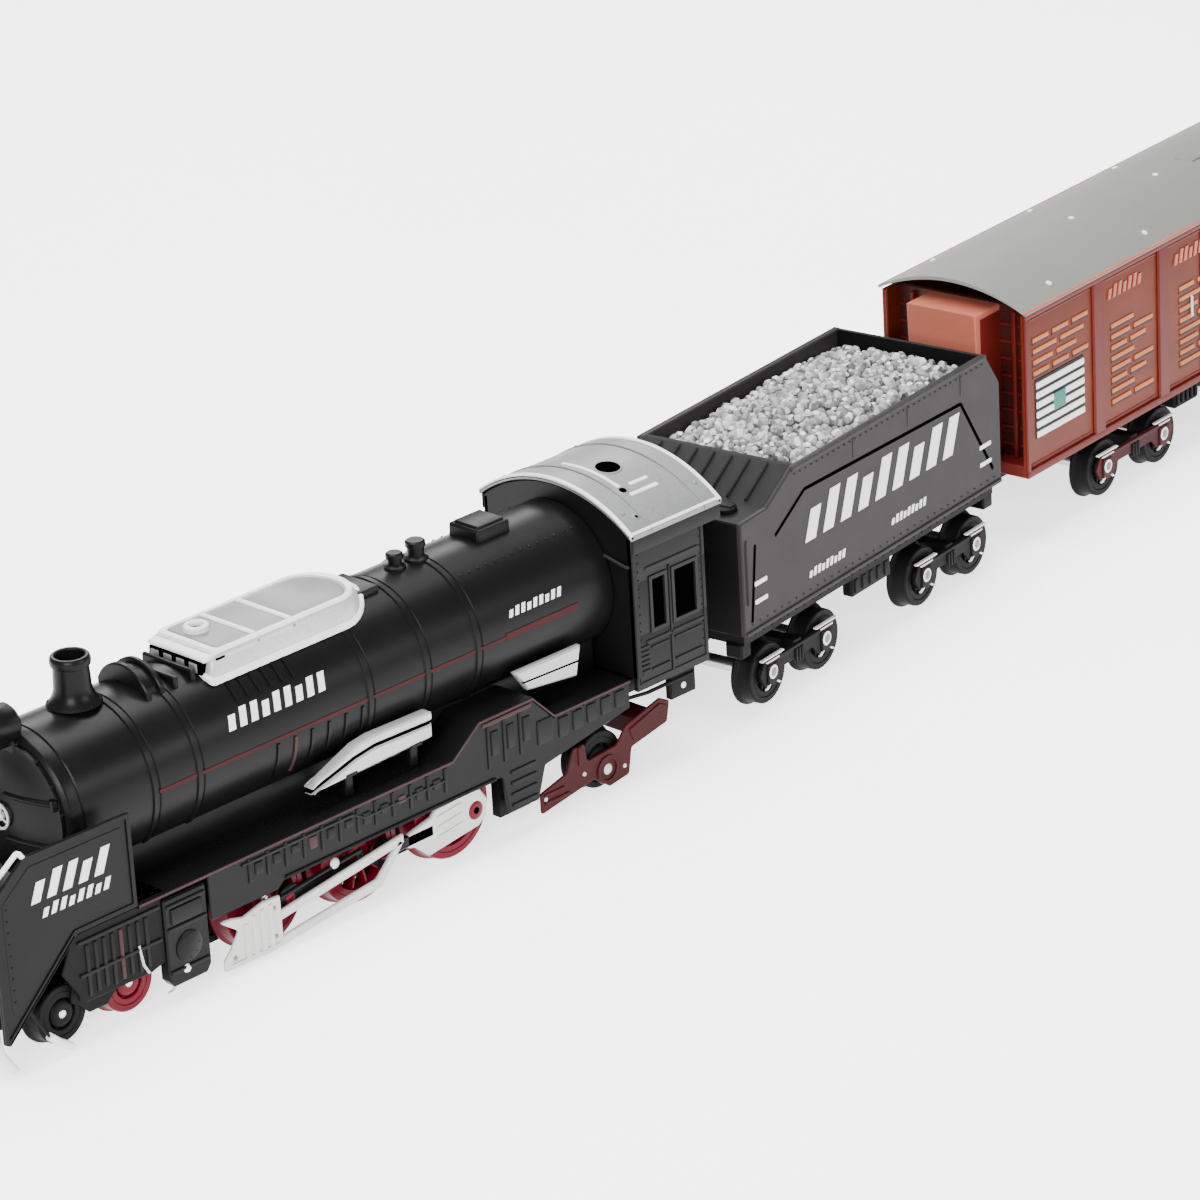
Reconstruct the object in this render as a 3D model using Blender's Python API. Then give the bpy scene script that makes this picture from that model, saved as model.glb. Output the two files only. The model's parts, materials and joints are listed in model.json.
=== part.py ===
"""A battery model train: a steam locomotive, its tender and a boxcar, coupled on a gentle curve.

Every vehicle is modelled in its own frame, in millimetres: x runs from its front end to its rear, y = 0 is
its centreline, z = 0 is the surface that the wheels stand on. Empties place the vehicles behind each other.
"""

import math

import bmesh
import bpy
from mathutils import Vector

MM = 0.001
CLEAR = 0.3                     # gap between pieces that touch on the real train

# Driving dimensions of the locomotive.
BOILER_RADIUS = 16.4
BOILER_AXIS_Z = 42.6
BOILER_X = (34.0, 179.4)
SHELL_WALL = 1.5
BOARD_Z = 24.15                 # top of the running board
BOARD_THICK = 0.9
BOARD_HALF = 21.5
PLATFORM_Z = 30.0               # raised stretch of the running board
CAB_X = (180.0, 202.0)
CAB_HALF = 22.0
CAB_FLOOR_Z = 20.4
EAVE_Z = 55.3
ROOF_RISE = 7.5
ROOF_X = (179.4, 207.0)
CHIMNEY_X = 47.2
CHIMNEY_TOP_Z = 69.4
DOME_X = (73.6, 120.8)          # the silver cover's ends; the rear one is round
DOME_HALF = 10.2
FRAME_Z = (19.2, 22.6)
FRAME_HALF = 12.6
BEAM_X = (5.5, 8.0)

# Battery bay: two AA cells, one above the other, changed through a hatch in the chassis.
CELL_RADIUS = 7.25
CELL_LENGTH = 50.5
CELL_FRONT_X = 122.6
CELL_Z = (32.1, 46.9)
HATCH_X = (117.4, 175.6)
HATCH_HALF = 8.4
COVER_LAP = 0.9                 # how far the battery cover reaches past the hatch all round

# Running gear.
TREAD_HALF = (14.6, 18.2)       # inner and outer face of a wheel's tread, from the centreline
FLANGE_INNER = 13.6
DRIVER_RADIUS = 11.3
DRIVER_SIDES = 16
DRIVER_X = (75.8, 101.8, 127.8)
CRANK_THROW = 5.5
CRANK_ANGLE = math.radians(-15)  # crank pins just below the axle's height, behind it
WHEEL_SIDES = 12
LEAD_RADIUS = 7.0
LEAD_PIVOT_X = 31.0
LEAD_WHEELBASE = 17.0
TRAIL_RADIUS = 7.3
TRAIL_AXLE_X = 171.0
TRAIL_PIVOT_X = 184.0
CAR_WHEEL_RADIUS = 7.8
FLANGE_DEPTH = 0.8
ROD_Y = (18.6, 19.8)            # plane of the coupling rods
ROD_BORE_RADIUS = 1.95
GUIDE_Y = (20.3, 21.5)          # plane of the crosshead guides and the valances

# Gear train: spur gears of one module, axes across the train.
MODULE = 0.9
AXLE_TEETH = 18
SMALL_TEETH = 8
BIG_TEETH = 20
GEAR_PLAY = 0.1
COMPOUND_Z = DRIVER_RADIUS + MODULE * (AXLE_TEETH + SMALL_TEETH) / 2 + GEAR_PLAY
MOTOR_Z = COMPOUND_Z + MODULE * (BIG_TEETH + SMALL_TEETH) / 2 + GEAR_PLAY
AXLE_GEAR_Y = (6.8, 8.7)
BIG_GEAR_Y = (4.4, 6.2)
MOTOR_Y = (-9.2, 3.6)

# Tender and boxcar.
TENDER_LENGTH = 104.2
TENDER_HALF = 20.6
TENDER_RIM_Z = 52.9
TENDER_FLOOR_Z = 20.3
TENDER_BOGIES = (21.0, 83.0)
TENDER_WHEELBASE = 21.0
BOXCAR_LENGTH = 150.0
BOXCAR_HALF = 20.0
BOXCAR_Z = (16.5, 56.4)
BOXCAR_ROOF_RISE = 5.4
BOXCAR_BOGIES = (46.0, 104.0)
PORCH_DEPTH = 5.0               # how far the boxcar's end walls stand back
VESTIBULE_REACH = 5.0           # how far the front vestibule stands out towards the tender
VESTIBULE_HALF = 9.6
BOXCAR_WHEELBASE = 24.6
CAR_FRAME_Z = (17.5, 20.0)
SILL_Z = (12.5, 16.2)
COUPLER_Z = (10.2, 12.0)
PIN_RADIUS = 1.5
PIN_BOTTOM = 9.9

# Places of the vehicles behind the locomotive, and of the coupler bars between them.
TENDER_PLACE = (212.1, 0.0)
TENDER_YAW = math.radians(8.65)
BOXCAR_PLACE = (327.3, 17.2)
BOXCAR_YAW = math.radians(6.4)
LOCO_PIN_X = 200.0
TENDER_FRONT_PIN_X = 8.0
TENDER_REAR_PIN_X = 100.0
BOXCAR_FRONT_PIN_X = 4.0

COLOURS = {                     # base colour, roughness, metallic
    "black_plastic": ((0.020, 0.019, 0.020), 0.38, 0.0),
    "frame_black": ((0.012, 0.012, 0.013), 0.50, 0.0),
    "red_plastic": ((0.23, 0.006, 0.018), 0.35, 0.0),
    "silver_paint": ((0.62, 0.63, 0.63), 0.38, 0.2),
    "roof_grey": ((0.45, 0.46, 0.46), 0.45, 0.1),
    "rod_silver": ((0.74, 0.72, 0.70), 0.35, 0.3),
    "smoked_lens": ((0.80, 0.78, 0.68), 0.10, 0.0),
    "steel": ((0.55, 0.55, 0.56), 0.30, 1.0),
    "nylon_white": ((0.75, 0.74, 0.70), 0.45, 0.0),
    "circuit_green": ((0.02, 0.16, 0.06), 0.40, 0.0),
    "cell_jacket": ((0.04, 0.09, 0.22), 0.35, 0.0),
    "coal_grey": ((0.60, 0.60, 0.60), 0.55, 0.0),
    "tender_grey": ((0.075, 0.068, 0.070), 0.42, 0.0),
    "boxcar_red": ((0.26, 0.045, 0.018), 0.45, 0.0),
    "boxcar_roof_grey": ((0.33, 0.34, 0.32), 0.50, 0.0),
}


def clear_scene():
    for obj in list(bpy.data.objects):
        bpy.data.objects.remove(obj, do_unlink=True)


def plastic(name):
    found = bpy.data.materials.get(name)
    if found:
        return found
    colour, roughness, metallic = COLOURS[name]
    made = bpy.data.materials.new(name)
    made.use_nodes = True
    shader = made.node_tree.nodes["Principled BSDF"]
    shader.inputs["Base Color"].default_value = (*colour, 1.0)
    shader.inputs["Roughness"].default_value = roughness
    shader.inputs["Metallic"].default_value = metallic
    return made


def empty(name, place, yaw, parent):
    frame = bpy.data.objects.new(name, None)
    bpy.context.scene.collection.objects.link(frame)
    frame.location = (place[0] * MM, place[1] * MM, 0.0)
    frame.rotation_euler = (0.0, 0.0, yaw)
    frame.parent = parent
    return frame


def make_object(name, verts, faces, material, parent, origin=(0, 0, 0), smooth=False):
    """One object from vertices in the parent's frame, with its own origin at the given place."""
    mesh = bpy.data.meshes.new(name)
    start = Vector(origin)
    mesh.from_pydata([(Vector(v) - start) * MM for v in verts], [], faces)
    shape = bmesh.new()
    shape.from_mesh(mesh)
    bmesh.ops.recalc_face_normals(shape, faces=shape.faces)
    shape.to_mesh(mesh)
    shape.free()
    if smooth:
        mesh.shade_smooth()
        mesh.set_sharp_from_angle(angle=math.radians(35))
    mesh.materials.append(plastic(material))
    piece = bpy.data.objects.new(name, mesh)
    bpy.context.scene.collection.objects.link(piece)
    piece.location = start * MM
    piece.parent = parent
    return piece


def block(name, x, y, z, material, parent, origin=(0, 0, 0)):
    verts = [(a, b, c) for a in x for b in y for c in z]
    faces = [(0, 1, 3, 2), (4, 6, 7, 5), (0, 4, 5, 1), (2, 3, 7, 6), (0, 2, 6, 4), (1, 5, 7, 3)]
    return make_object(name, verts, faces, material, parent, origin)


def extrusion(name, outline, span, axis, material, parent, origin=(0, 0, 0), smooth=False):
    """A flat outline drawn out along one axis: points are (x, z) along y, (y, z) along x, (x, y) along z."""
    place = {
        "x": lambda p, s: (s, p[0], p[1]),
        "y": lambda p, s: (p[0], s, p[1]),
        "z": lambda p, s: (p[0], p[1], s),
    }[axis]
    count = len(outline)
    verts = [place(p, s) for s in span for p in outline]
    faces = [tuple(range(count)), tuple(range(2 * count - 1, count - 1, -1))]
    faces += [(i, (i + 1) % count, count + (i + 1) % count, count + i) for i in range(count)]
    return make_object(name, verts, faces, material, parent, origin, smooth)


def turned(name, profile, centre, axis, sides, material, parent, origin=(0, 0, 0)):
    """A turned solid: profile is (place along the axis, radius), its corners flat side down."""
    rings = []
    for along, radius in profile:
        for k in range(sides):
            angle = 2 * math.pi * (k + 0.5) / sides - math.pi / 2
            u = radius * math.cos(angle)
            v = radius * math.sin(angle)
            rings.append({
                "x": (centre[0] + along, centre[1] + u, centre[2] + v),
                "y": (centre[0] + u, centre[1] + along, centre[2] + v),
                "z": (centre[0] + u, centre[1] + v, centre[2] + along),
            }[axis])
    last = (len(profile) - 1) * sides
    faces = [tuple(range(sides)), tuple(range(last + sides - 1, last - 1, -1))]
    for ring in range(len(profile) - 1):
        low = ring * sides
        for k in range(sides):
            after = (k + 1) % sides
            faces.append((low + k, low + after, low + sides + after, low + sides + k))
    return make_object(name, rings, faces, material, parent, origin, smooth=True)


def rod_along(name, centre, span, radius, axis, material, parent, sides=8):
    return turned(name, [(span[0], radius), (span[1], radius)], centre, axis, sides, material, parent)


def combine(piece, helper, operation):
    helper.hide_render = True
    helper.display_type = "WIRE"
    step = piece.modifiers.new(helper.name, "BOOLEAN")
    step.operation = operation
    step.solver = "EXACT"
    step.object = helper


def add(piece, *helpers):
    for helper in helpers:
        combine(piece, helper, "UNION")


def cut(piece, *helpers):
    for helper in helpers:
        combine(piece, helper, "DIFFERENCE")


def arch(half, eave, rise, steps):
    """Points of a circular arch from +half to -half, highest in the middle."""
    radius = (half * half + rise * rise) / (2 * rise)
    sweep = math.asin(half / radius)
    centre = eave + rise - radius
    angles = [sweep * (1 - 2 * k / steps) for k in range(steps + 1)]
    return [(radius * math.sin(a), centre + radius * math.cos(a)) for a in angles]


def mirrored_y(span, side):
    """A span from the centreline outwards, on side +1 (right) or -1 (left)."""
    return tuple(sorted((side * span[0], side * span[1])))


# ---------------------------------------------------------------- locomotive


def loco_chassis(loco):
    material = "frame_black"
    chassis = block("loco_chassis", (22.0, 204.0), (-FRAME_HALF, FRAME_HALF), FRAME_Z, material, loco)
    rear_plate = block("chassis_rear_plate", (140.6, 203.0), (-19.0, 19.0), (19.6, 22.4), material, loco)
    saddle = block("chassis_saddle", (48.0, 58.4), (-18.2, 18.2), (14.0, 20.0), material, loco)
    add(chassis, rear_plate, saddle)
    for side in (1, -1):
        rail = block("chassis_rail", (62.0, 142.0), mirrored_y((10.8, FRAME_HALF - 0.1), side), (5.6, 20.0),
                     material, loco)
        panel = block("chassis_side_panel", (140.8, 149.5), mirrored_y((16.5, 18.8), side), (5.0, 20.0),
                      material, loco)
        add(chassis, rail, panel)
    lead_boss = rod_along("lead_boss", (LEAD_PIVOT_X, 0, 0), (12.0, 20.0), 4.0, "z", material, loco)
    trail_boss = rod_along("trail_boss", (TRAIL_PIVOT_X, 0, 0), (13.9, 20.0), 4.0, "z", material, loco)
    pin = rod_along("loco_coupler_pin", (LOCO_PIN_X, 0, 0), (PIN_BOTTOM, 20.0), PIN_RADIUS, "z", material,
                    loco)
    add(chassis, lead_boss, trail_boss, pin)
    for x in DRIVER_X:
        cut(chassis, rod_along("axle_bearing", (x, 0, DRIVER_RADIUS), (-14, 14), 2.1, "y", material, loco))
    gear_well = block("gear_well", (90.0, 114.0), (3.8, 9.3), (15.0, 26.0), material, loco)
    battery_hatch = block("battery_hatch", HATCH_X, (-HATCH_HALF, HATCH_HALF), (17.0, 26.0), material, loco)
    cut(chassis, gear_well, battery_hatch)
    return chassis


def baseplate(loco):
    plate = block("baseplate", (62.0, 142.0), (-FRAME_HALF, FRAME_HALF), (3.7, 5.2), "frame_black", loco)
    cut(plate, block("gear_slot", (91.5, 112.0), (6.0, 9.5), (2.0, 7.0), "frame_black", loco))
    return plate


def front_beam(loco):
    beam = block("front_beam", BEAM_X, (-19.8, 19.8), (10.5, 22.6), "frame_black", loco)
    brace = block("beam_brace", (7.5, 21.6), (-8.0, 8.0), (19.2, 22.4), "frame_black", loco)
    add(beam, brace)
    return beam


def front_coupler(loco):
    outline = [(-8.0, -1.6), (-6.5, -3.0), (-3.0, -2.0), (8.0, -2.0), (8.0, 2.0), (-3.0, 2.0), (-8.0, 1.0)]
    hook = extrusion("front_coupler", outline, (7.6, 10.2), "z", "frame_black", loco)
    add(hook, block("coupler_post", (0.8, 3.8), (-1.4, 1.4), (5.0, 8.2), "frame_black", loco))
    return hook


def boiler_shell(loco):
    sides = 24
    outer = [(BOILER_X[0], BOILER_RADIUS), (BOILER_X[1], BOILER_RADIUS)]
    shell = turned("boiler_shell", outer, (0, 0, BOILER_AXIS_Z), "x", sides, "black_plastic", loco)
    bore = rod_along("boiler_bore", (0, 0, BOILER_AXIS_Z), (BOILER_X[0] - 1, BOILER_X[1] + 1),
                     BOILER_RADIUS - SHELL_WALL, "x", "black_plastic", loco, sides)
    underside = block("boiler_underside", (BOILER_X[0] - 1, BOILER_X[1] + 1), (-11.4, 11.4),
                      (20.0, BOILER_AXIS_Z - 8.0), "black_plastic", loco)
    hood_outline = arch(11.0, 57.0, 7.0, 6)
    hood = extrusion("boiler_hood", [(-11.0, 54.0)] + hood_outline[::-1] + [(11.0, 54.0)], (60.5, 63.5), "x",
                     "black_plastic", loco)
    post_front = rod_along("valve_post_front", (133.5, 0, 0), (57.5, 62.6), 1.5, "z", "black_plastic", loco)
    post_rear = rod_along("valve_post_rear", (139.5, 0, 0), (57.5, 63.4), 1.8, "z", "black_plastic", loco)
    hatch_box = block("boiler_hatch_box", (153.5, 163.0), (-4.0, 5.0), (56.0, 61.8), "black_plastic", loco)
    add(shell, hood, post_front, post_rear, hatch_box)
    cut(shell, bore, underside)
    return shell


def smokebox_door(loco):
    profile = [(26.8, 2.2), (27.4, 7.0), (29.5, 12.4), (30.0, 15.2), (31.0, 16.4), (33.7, 16.4)]
    door = turned("smokebox_door", profile, (0, 0, BOILER_AXIS_Z), "x", 24, "black_plastic", loco)
    lamp = rod_along("lamp_housing", (0, 0, 61.0), (24.0, 31.5), 4.2, "x", "black_plastic", loco, 12)
    bracket = block("lamp_bracket", (29.4, 33.0), (-2.4, 2.4), (54.0, 60.0), "black_plastic", loco)
    recess = rod_along("lamp_recess", (0, 0, 61.0), (22.0, 26.4), 3.3, "x", "black_plastic", loco, 12)
    add(door, lamp, bracket)
    cut(door, recess)
    return door


def headlamp_lens(loco):
    profile = [(24.0, 1.4), (24.4, 2.4), (25.2, 2.95), (26.1, 2.95)]
    return turned("headlamp_lens", profile, (0, 0, 61.0), "x", 12, "smoked_lens", loco)


def chimney(loco):
    base = BOILER_AXIS_Z + BOILER_RADIUS + CLEAR
    top = CHIMNEY_TOP_Z
    profile = [(base, 5.6), (base + 0.9, 5.3), (base + 2.2, 3.9), (top - 1.7, 3.5), (top - 1.5, 4.0),
               (top, 4.0), (top, 2.9), (top - 6, 2.6)]
    return turned("chimney", profile, (CHIMNEY_X, 0, 0), "z", 16, "black_plastic", loco)


def dome_cover(loco):
    """A silver cover, square in front and round behind, that sits astride the boiler's top."""
    rows = []
    for inset, z in ((0.0, 50.0), (0.0, 57.4), (2.2, 61.6), (3.0, 62.6)):
        half = DOME_HALF - inset * 0.8
        front = DOME_X[0] + inset * 1.1
        reach = DOME_HALF - inset * 1.1
        outline = [(front, -half), (front, half)]
        for k in range(7):
            angle = math.pi / 2 - math.pi * k / 6
            outline.append((DOME_X[1] - DOME_HALF + reach * math.cos(angle), half * math.sin(angle)))
        rows.append([(x, y, z) for x, y in outline])
    count = len(rows[0])
    steps = len(rows) - 1
    faces = [tuple(range(count)), tuple(range((steps + 1) * count - 1, steps * count - 1, -1))]
    for row in range(steps):
        low = row * count
        faces += [(low + i, low + (i + 1) % count, low + count + (i + 1) % count, low + count + i)
                  for i in range(count)]
    cover = make_object("dome_cover", [v for row in rows for v in row], faces, "silver_paint", loco)
    saddle = rod_along("dome_saddle", (0, 0, BOILER_AXIS_Z), (60, 140), BOILER_RADIUS + CLEAR, "x",
                       "silver_paint", loco, 24)
    screw = (82.0, 3.0, 0)
    screw_boss = rod_along("dome_screw_boss", screw, (62.0, 63.4), 2.6, "z", "silver_paint", loco, 12)
    screw_hole = rod_along("dome_screw_hole", screw, (61.4, 65.0), 1.2, "z", "silver_paint", loco)
    add(cover, screw_boss)
    cut(cover, saddle, screw_hole)
    return cover


def running_board(loco):
    low = BOARD_Z - BOARD_THICK
    step_top = [(41.2, BOARD_Z), (126.0, BOARD_Z), (134.0, PLATFORM_Z), (149.5, PLATFORM_Z), (155.5, 24.0),
                (178.0, 24.0)]
    step_under = [(x + 0.4, z - BOARD_THICK) for x, z in step_top]
    step_under[0] = (41.2, low)
    step_under[-1] = (178.0, 24.0 - BOARD_THICK)
    valance = [(66.0, 23.4), (66.0, 17.0), (139.8, 17.0), (141.4, 6.5), (150.0, 6.5), (152.4, 13.5),
               (178.0, 17.5), (178.0, 23.2), (155.6, 23.2), (149.6, 29.3), (134.4, 29.3), (126.4, 23.4)]
    board = block("running_board", (8.4, 48.6), (-20.4, 20.4), (low, BOARD_Z), "black_plastic", loco)
    for side in (1, -1):
        strip = extrusion("board_strip", step_top + step_under[::-1], mirrored_y((10.7, BOARD_HALF), side),
                          "y", "black_plastic", loco)
        skirt = extrusion("board_valance", valance, mirrored_y(GUIDE_Y, side), "y", "black_plastic", loco)
        web = block("board_web", (48.0, 178.0), mirrored_y((10.0, 11.0), side), (low, 31.2), "black_plastic",
                    loco)
        add(board, strip, web, skirt)
    for x in (48.4, 177.0):
        add(board, block("board_cross_wall", (x, x + 1.0), (-10.4, 10.4), (low, 29.0), "black_plastic", loco))
    return board


def deflector(loco, side, label):
    """Smoke deflector, with the skirt that runs down in front of the leading wheels."""
    outline = [(14.4, 44.5), (40.7, 44.2), (40.7, BOARD_Z), (25.1, BOARD_Z), (6.6, 7.4), (5.5, 8.0),
               (5.5, 37.8)]
    span = mirrored_y((20.8, 21.8), side)
    return extrusion("deflector_" + label, outline, span, "y", "black_plastic", loco)


def cylinder(loco, side, label):
    outline = [(47.2, 5.0), (48.4, 3.4), (57.0, 3.4), (58.2, 5.0), (58.2, 22.6), (47.2, 22.6)]
    casting = extrusion("cylinder_" + label, outline, mirrored_y((18.6, 21.6), side), "y", "black_plastic",
                        loco)
    valve_end = rod_along("valve_cover", (52.7, 0, 11.0), mirrored_y((20.8, 22.1), side), 3.2, "y",
                          "black_plastic", loco, 12)
    add(casting, valve_end)
    return casting


def crosshead(loco, side, label):
    """Crosshead plate with its forked front and the slide bars that run back towards the big end."""
    plate = [(61.0, 12.3), (66.1, 8.7), (63.7, 5.4), (61.8, 3.5), (61.7, 1.2), (75.2, 0.9), (77.4, 1.6),
             (77.4, 12.3), (72.8, 12.5), (67.5, 11.2), (64.5, 12.0)]
    upper_bar = [(77.0, 6.9), (77.0, 8.4), (111.4, 12.6), (111.4, 11.0)]
    lower_bar = [(77.0, 1.4), (77.0, 3.0), (103.4, 5.4), (110.0, 12.2), (111.4, 11.4), (104.6, 4.2)]
    link = [(77.0, 12.0), (90.5, 13.4), (91.3, 14.6), (93.8, 14.6), (94.6, 13.6), (100.0, 14.2),
            (100.0, 13.2), (77.0, 11.2)]
    span = mirrored_y(GUIDE_Y, side)
    guide = extrusion("crosshead_" + label, plate, span, "y", "rod_silver", loco)
    inner = mirrored_y((GUIDE_Y[0] + 0.1, GUIDE_Y[1] - 0.1), side)
    for bar in (upper_bar, lower_bar, link):
        add(guide, extrusion("slide_bar", bar, inner, "y", "rod_silver", loco))
    return guide


def air_tank(loco, side, label):
    """The silver tank beside the boiler, tapered in front, on two feet that stand on the running board."""
    outline = [(88.0, 28.2), (99.0, 33.9), (104.5, 35.6), (124.0, 35.2), (124.0, 29.2)]
    tank = extrusion("air_tank_" + label, outline, mirrored_y((15.6, 18.6), side), "y", "silver_paint", loco)
    for x in (100.0, 118.0):
        add(tank, block("tank_foot", (x, x + 2.0), mirrored_y((16.2, 17.8), side), (BOARD_Z + CLEAR, 30.0),
                        "silver_paint", loco))
    return tank


def cab_body(loco):
    inner = arch(CAB_HALF, EAVE_Z, ROOF_RISE, 8)
    wall_top = [(y, z - CLEAR) for y, z in inner]
    front = [(-CAB_HALF, CAB_FLOOR_Z + 3.0)] + wall_top[::-1] + [(CAB_HALF, CAB_FLOOR_Z + 3.0)]
    front_wall = extrusion("cab_body", front, (CAB_X[0], CAB_X[0] + 1.5), "x", "black_plastic", loco)
    for side in (1, -1):
        wall = block("cab_side", CAB_X, mirrored_y((CAB_HALF - 1.4, CAB_HALF), side),
                     (CAB_FLOOR_Z, EAVE_Z - CLEAR), "black_plastic", loco)
        add(front_wall, wall)
    add(front_wall, block("cab_floor", (CAB_X[0] + 0.5, CAB_X[1]), (-CAB_HALF + 0.5, CAB_HALF - 0.5),
                          (CAB_FLOOR_Z + 2.6, CAB_FLOOR_Z + 4.0), "black_plastic", loco))
    for x in ((185.3, 189.7), (192.0, 199.0)):
        cut(front_wall, block("cab_window", x, (-CAB_HALF - 1, CAB_HALF + 1), (33.0, 44.7), "black_plastic",
                              loco))
    return front_wall


def cab_roof(loco):
    under = arch(CAB_HALF + 0.6, EAVE_Z - 0.3, ROOF_RISE + 0.2, 10)
    over = arch(CAB_HALF + 0.6, EAVE_Z + 0.9, ROOF_RISE + 0.3, 10)
    roof = extrusion("cab_roof", over + under[::-1], ROOF_X, "x", "roof_grey", loco)
    large_hole = rod_along("roof_hole", (194.0, 0, 0), (58, 66), 2.9, "z", "roof_grey", loco, 12)
    small_hole = rod_along("roof_small_hole", (194.6, -6.0, 0), (56, 66), 1.0, "z", "roof_grey", loco)
    cut(roof, large_hole, small_hole)
    return roof


def battery_parts(loco):
    shoulder = CELL_LENGTH - 1.2
    cell = [(0.0, CELL_RADIUS), (shoulder, CELL_RADIUS), (shoulder + 0.2, 2.75), (CELL_LENGTH, 2.75)]
    for label, z in zip(("lower", "upper"), CELL_Z):
        turned("battery_cell_" + label, cell, (CELL_FRONT_X, 0, z), "x", 12, "cell_jacket", loco)
    cover_x = (HATCH_X[0] - COVER_LAP, HATCH_X[1] + COVER_LAP)
    cover_y = (-HATCH_HALF - COVER_LAP, HATCH_HALF + COVER_LAP)
    cover = block("battery_cover", cover_x, cover_y, (17.4, 18.9), "frame_black", loco)
    grip = block("cover_grip", (166.0, 170.0), (-4.0, 4.0), (16.4, 17.8), "frame_black", loco)
    add(cover, grip)


def electrics(loco):
    x = DRIVER_X[1]
    flats = [(-5.0, -7.6), (5.0, -7.6), (6.4, -4.0), (6.4, 4.0), (5.0, 7.6), (-5.0, 7.6), (-6.4, 4.0),
             (-6.4, -4.0)]
    can = [(x + a, MOTOR_Z + b) for a, b in flats]
    extrusion("motor", can, MOTOR_Y, "y", "steel", loco)
    block("circuit_board", (40.0, 86.0), (-8.6, 8.6), (37.0, 38.6), "circuit_green", loco)
    rod_along("speaker", (194.0, 0, 0), (51.0, 55.0), 9.0, "z", "frame_black", loco, 16)
    switch = block("power_switch", (192.0, 196.0), (-2.4, 2.4), (24.8, 27.0), "red_plastic", loco,
                   origin=(194.0, 0, 26.0))
    return switch


# ---------------------------------------------------------------- wheels, gears and rods


def wheelset(name, radius, centre, sides, material, parent):
    """Two wheels on their axle, turned in one piece; the flange's flats are the lowest line."""
    flange = radius / math.cos(math.pi / sides)
    tread = flange - FLANGE_DEPTH
    inner, outer = TREAD_HALF
    half = [(outer + CLEAR, 1.3), (outer, 1.3), (outer, tread), (inner, tread), (inner, flange),
            (FLANGE_INNER, flange), (FLANGE_INNER, 1.6)]
    profile = [(-y, r) for y, r in half] + [(y, r) for y, r in half[::-1]]
    return turned(name, profile, centre, "y", sides, material, parent, origin=centre)


def crank_offset():
    return CRANK_THROW * math.cos(CRANK_ANGLE), CRANK_THROW * math.sin(CRANK_ANGLE)


def driver_wheelsets(loco):
    dx, dz = crank_offset()
    for number, x in enumerate(DRIVER_X, 1):
        centre = (x, 0.0, DRIVER_RADIUS)
        name = f"driver_wheelset_{number}"
        wheels = wheelset(name, DRIVER_RADIUS, centre, DRIVER_SIDES, "red_plastic", loco)
        for side in (1, -1):
            pin = rod_along("crank_pin", (x + dx, 0, DRIVER_RADIUS + dz), mirrored_y((17.4, 19.6), side), 1.4,
                            "y", "red_plastic", loco)
            add(wheels, pin)


def coupling_rod(loco, side, label):
    """The coupling rod: a slim bar over three crank pins that ends in the broad big-end plate."""
    dx, dz = crank_offset()
    pins = [x + dx for x in DRIVER_X]
    z = DRIVER_RADIUS + dz
    last = pins[2]
    eye = [(-3.0, 1.4), (-1.6, 3.0), (1.6, 3.0), (3.0, 1.4)]
    over = [(x + a, z + b) for x in pins[:2] for a, b in eye]
    under = [(x - a, z - b) for x in pins[1::-1] for a, b in eye]
    big_end = [(-19.4, 1.4), (-12.4, 2.9), (-11.2, 4.3), (-1.0, 4.8), (1.6, 4.4), (3.6, 1.4), (3.2, -2.2),
               (0.8, -3.8), (-13.4, -5.4), (-17.4, -2.0), (-19.4, -1.6)]
    outline = over + [(last + a, z + b) for a, b in big_end] + under
    origin = (pins[1], 0.0, z)
    span = mirrored_y(ROD_Y, side)
    rod = extrusion("coupling_rod_" + label, outline, span, "y", "rod_silver", loco, origin)
    for x in pins:
        cut(rod, rod_along("rod_bore", (x, 0, z), mirrored_y((17.0, 21.0), side), ROD_BORE_RADIUS, "y",
                           "rod_silver", loco))
    return rod


def gear_outline(teeth, phase):
    """Outline of a spur gear with slim straight-sided teeth, one tooth centred on the phase angle."""
    pitch = MODULE * teeth / 2
    root = pitch - 1.15 * MODULE
    tip = pitch + 0.75 * MODULE
    step = 2 * math.pi / teeth
    points = []
    for k in range(teeth):
        middle = phase + k * step
        for radius, share in ((root, -0.29), (tip, -0.10), (tip, 0.10), (root, 0.29)):
            angle = middle + share * step
            points.append((radius * math.cos(angle), radius * math.sin(angle)))
    return points


def gear(name, teeth, phase, centre, span, material, parent):
    outline = [(centre[0] + u, centre[2] + v) for u, v in gear_outline(teeth, phase)]
    return extrusion(name, outline, span, "y", material, parent, origin=centre)


def gear_train(loco):
    """Motor pinion, compound idler and axle gear; each pinion has a gap where its gear has a tooth."""
    x = DRIVER_X[1]
    up = math.pi / 2
    half_tooth = math.pi / SMALL_TEETH
    axle_gear = gear("axle_gear", AXLE_TEETH, up, (x, 0.0, DRIVER_RADIUS), AXLE_GEAR_Y, "nylon_white", loco)
    cut(axle_gear, rod_along("axle_gear_bore", (x, 0, DRIVER_RADIUS), (5, 10), 2.0, "y", "nylon_white", loco))
    compound = gear("compound_gear", BIG_TEETH, up, (x, 0.0, COMPOUND_Z), BIG_GEAR_Y, "nylon_white", loco)
    idler = gear("compound_pinion", SMALL_TEETH, -up + half_tooth, (x, 0.0, COMPOUND_Z),
                 (BIG_GEAR_Y[1] - 0.4, AXLE_GEAR_Y[1]), "nylon_white", loco)
    add(compound, idler)
    pinion = gear("motor_pinion", SMALL_TEETH, -up + half_tooth, (x, 0.0, MOTOR_Z),
                  (MOTOR_Y[1] + CLEAR, BIG_GEAR_Y[1] + 0.4), "nylon_white", loco)
    return pinion


# ---------------------------------------------------------------- bogies


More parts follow.
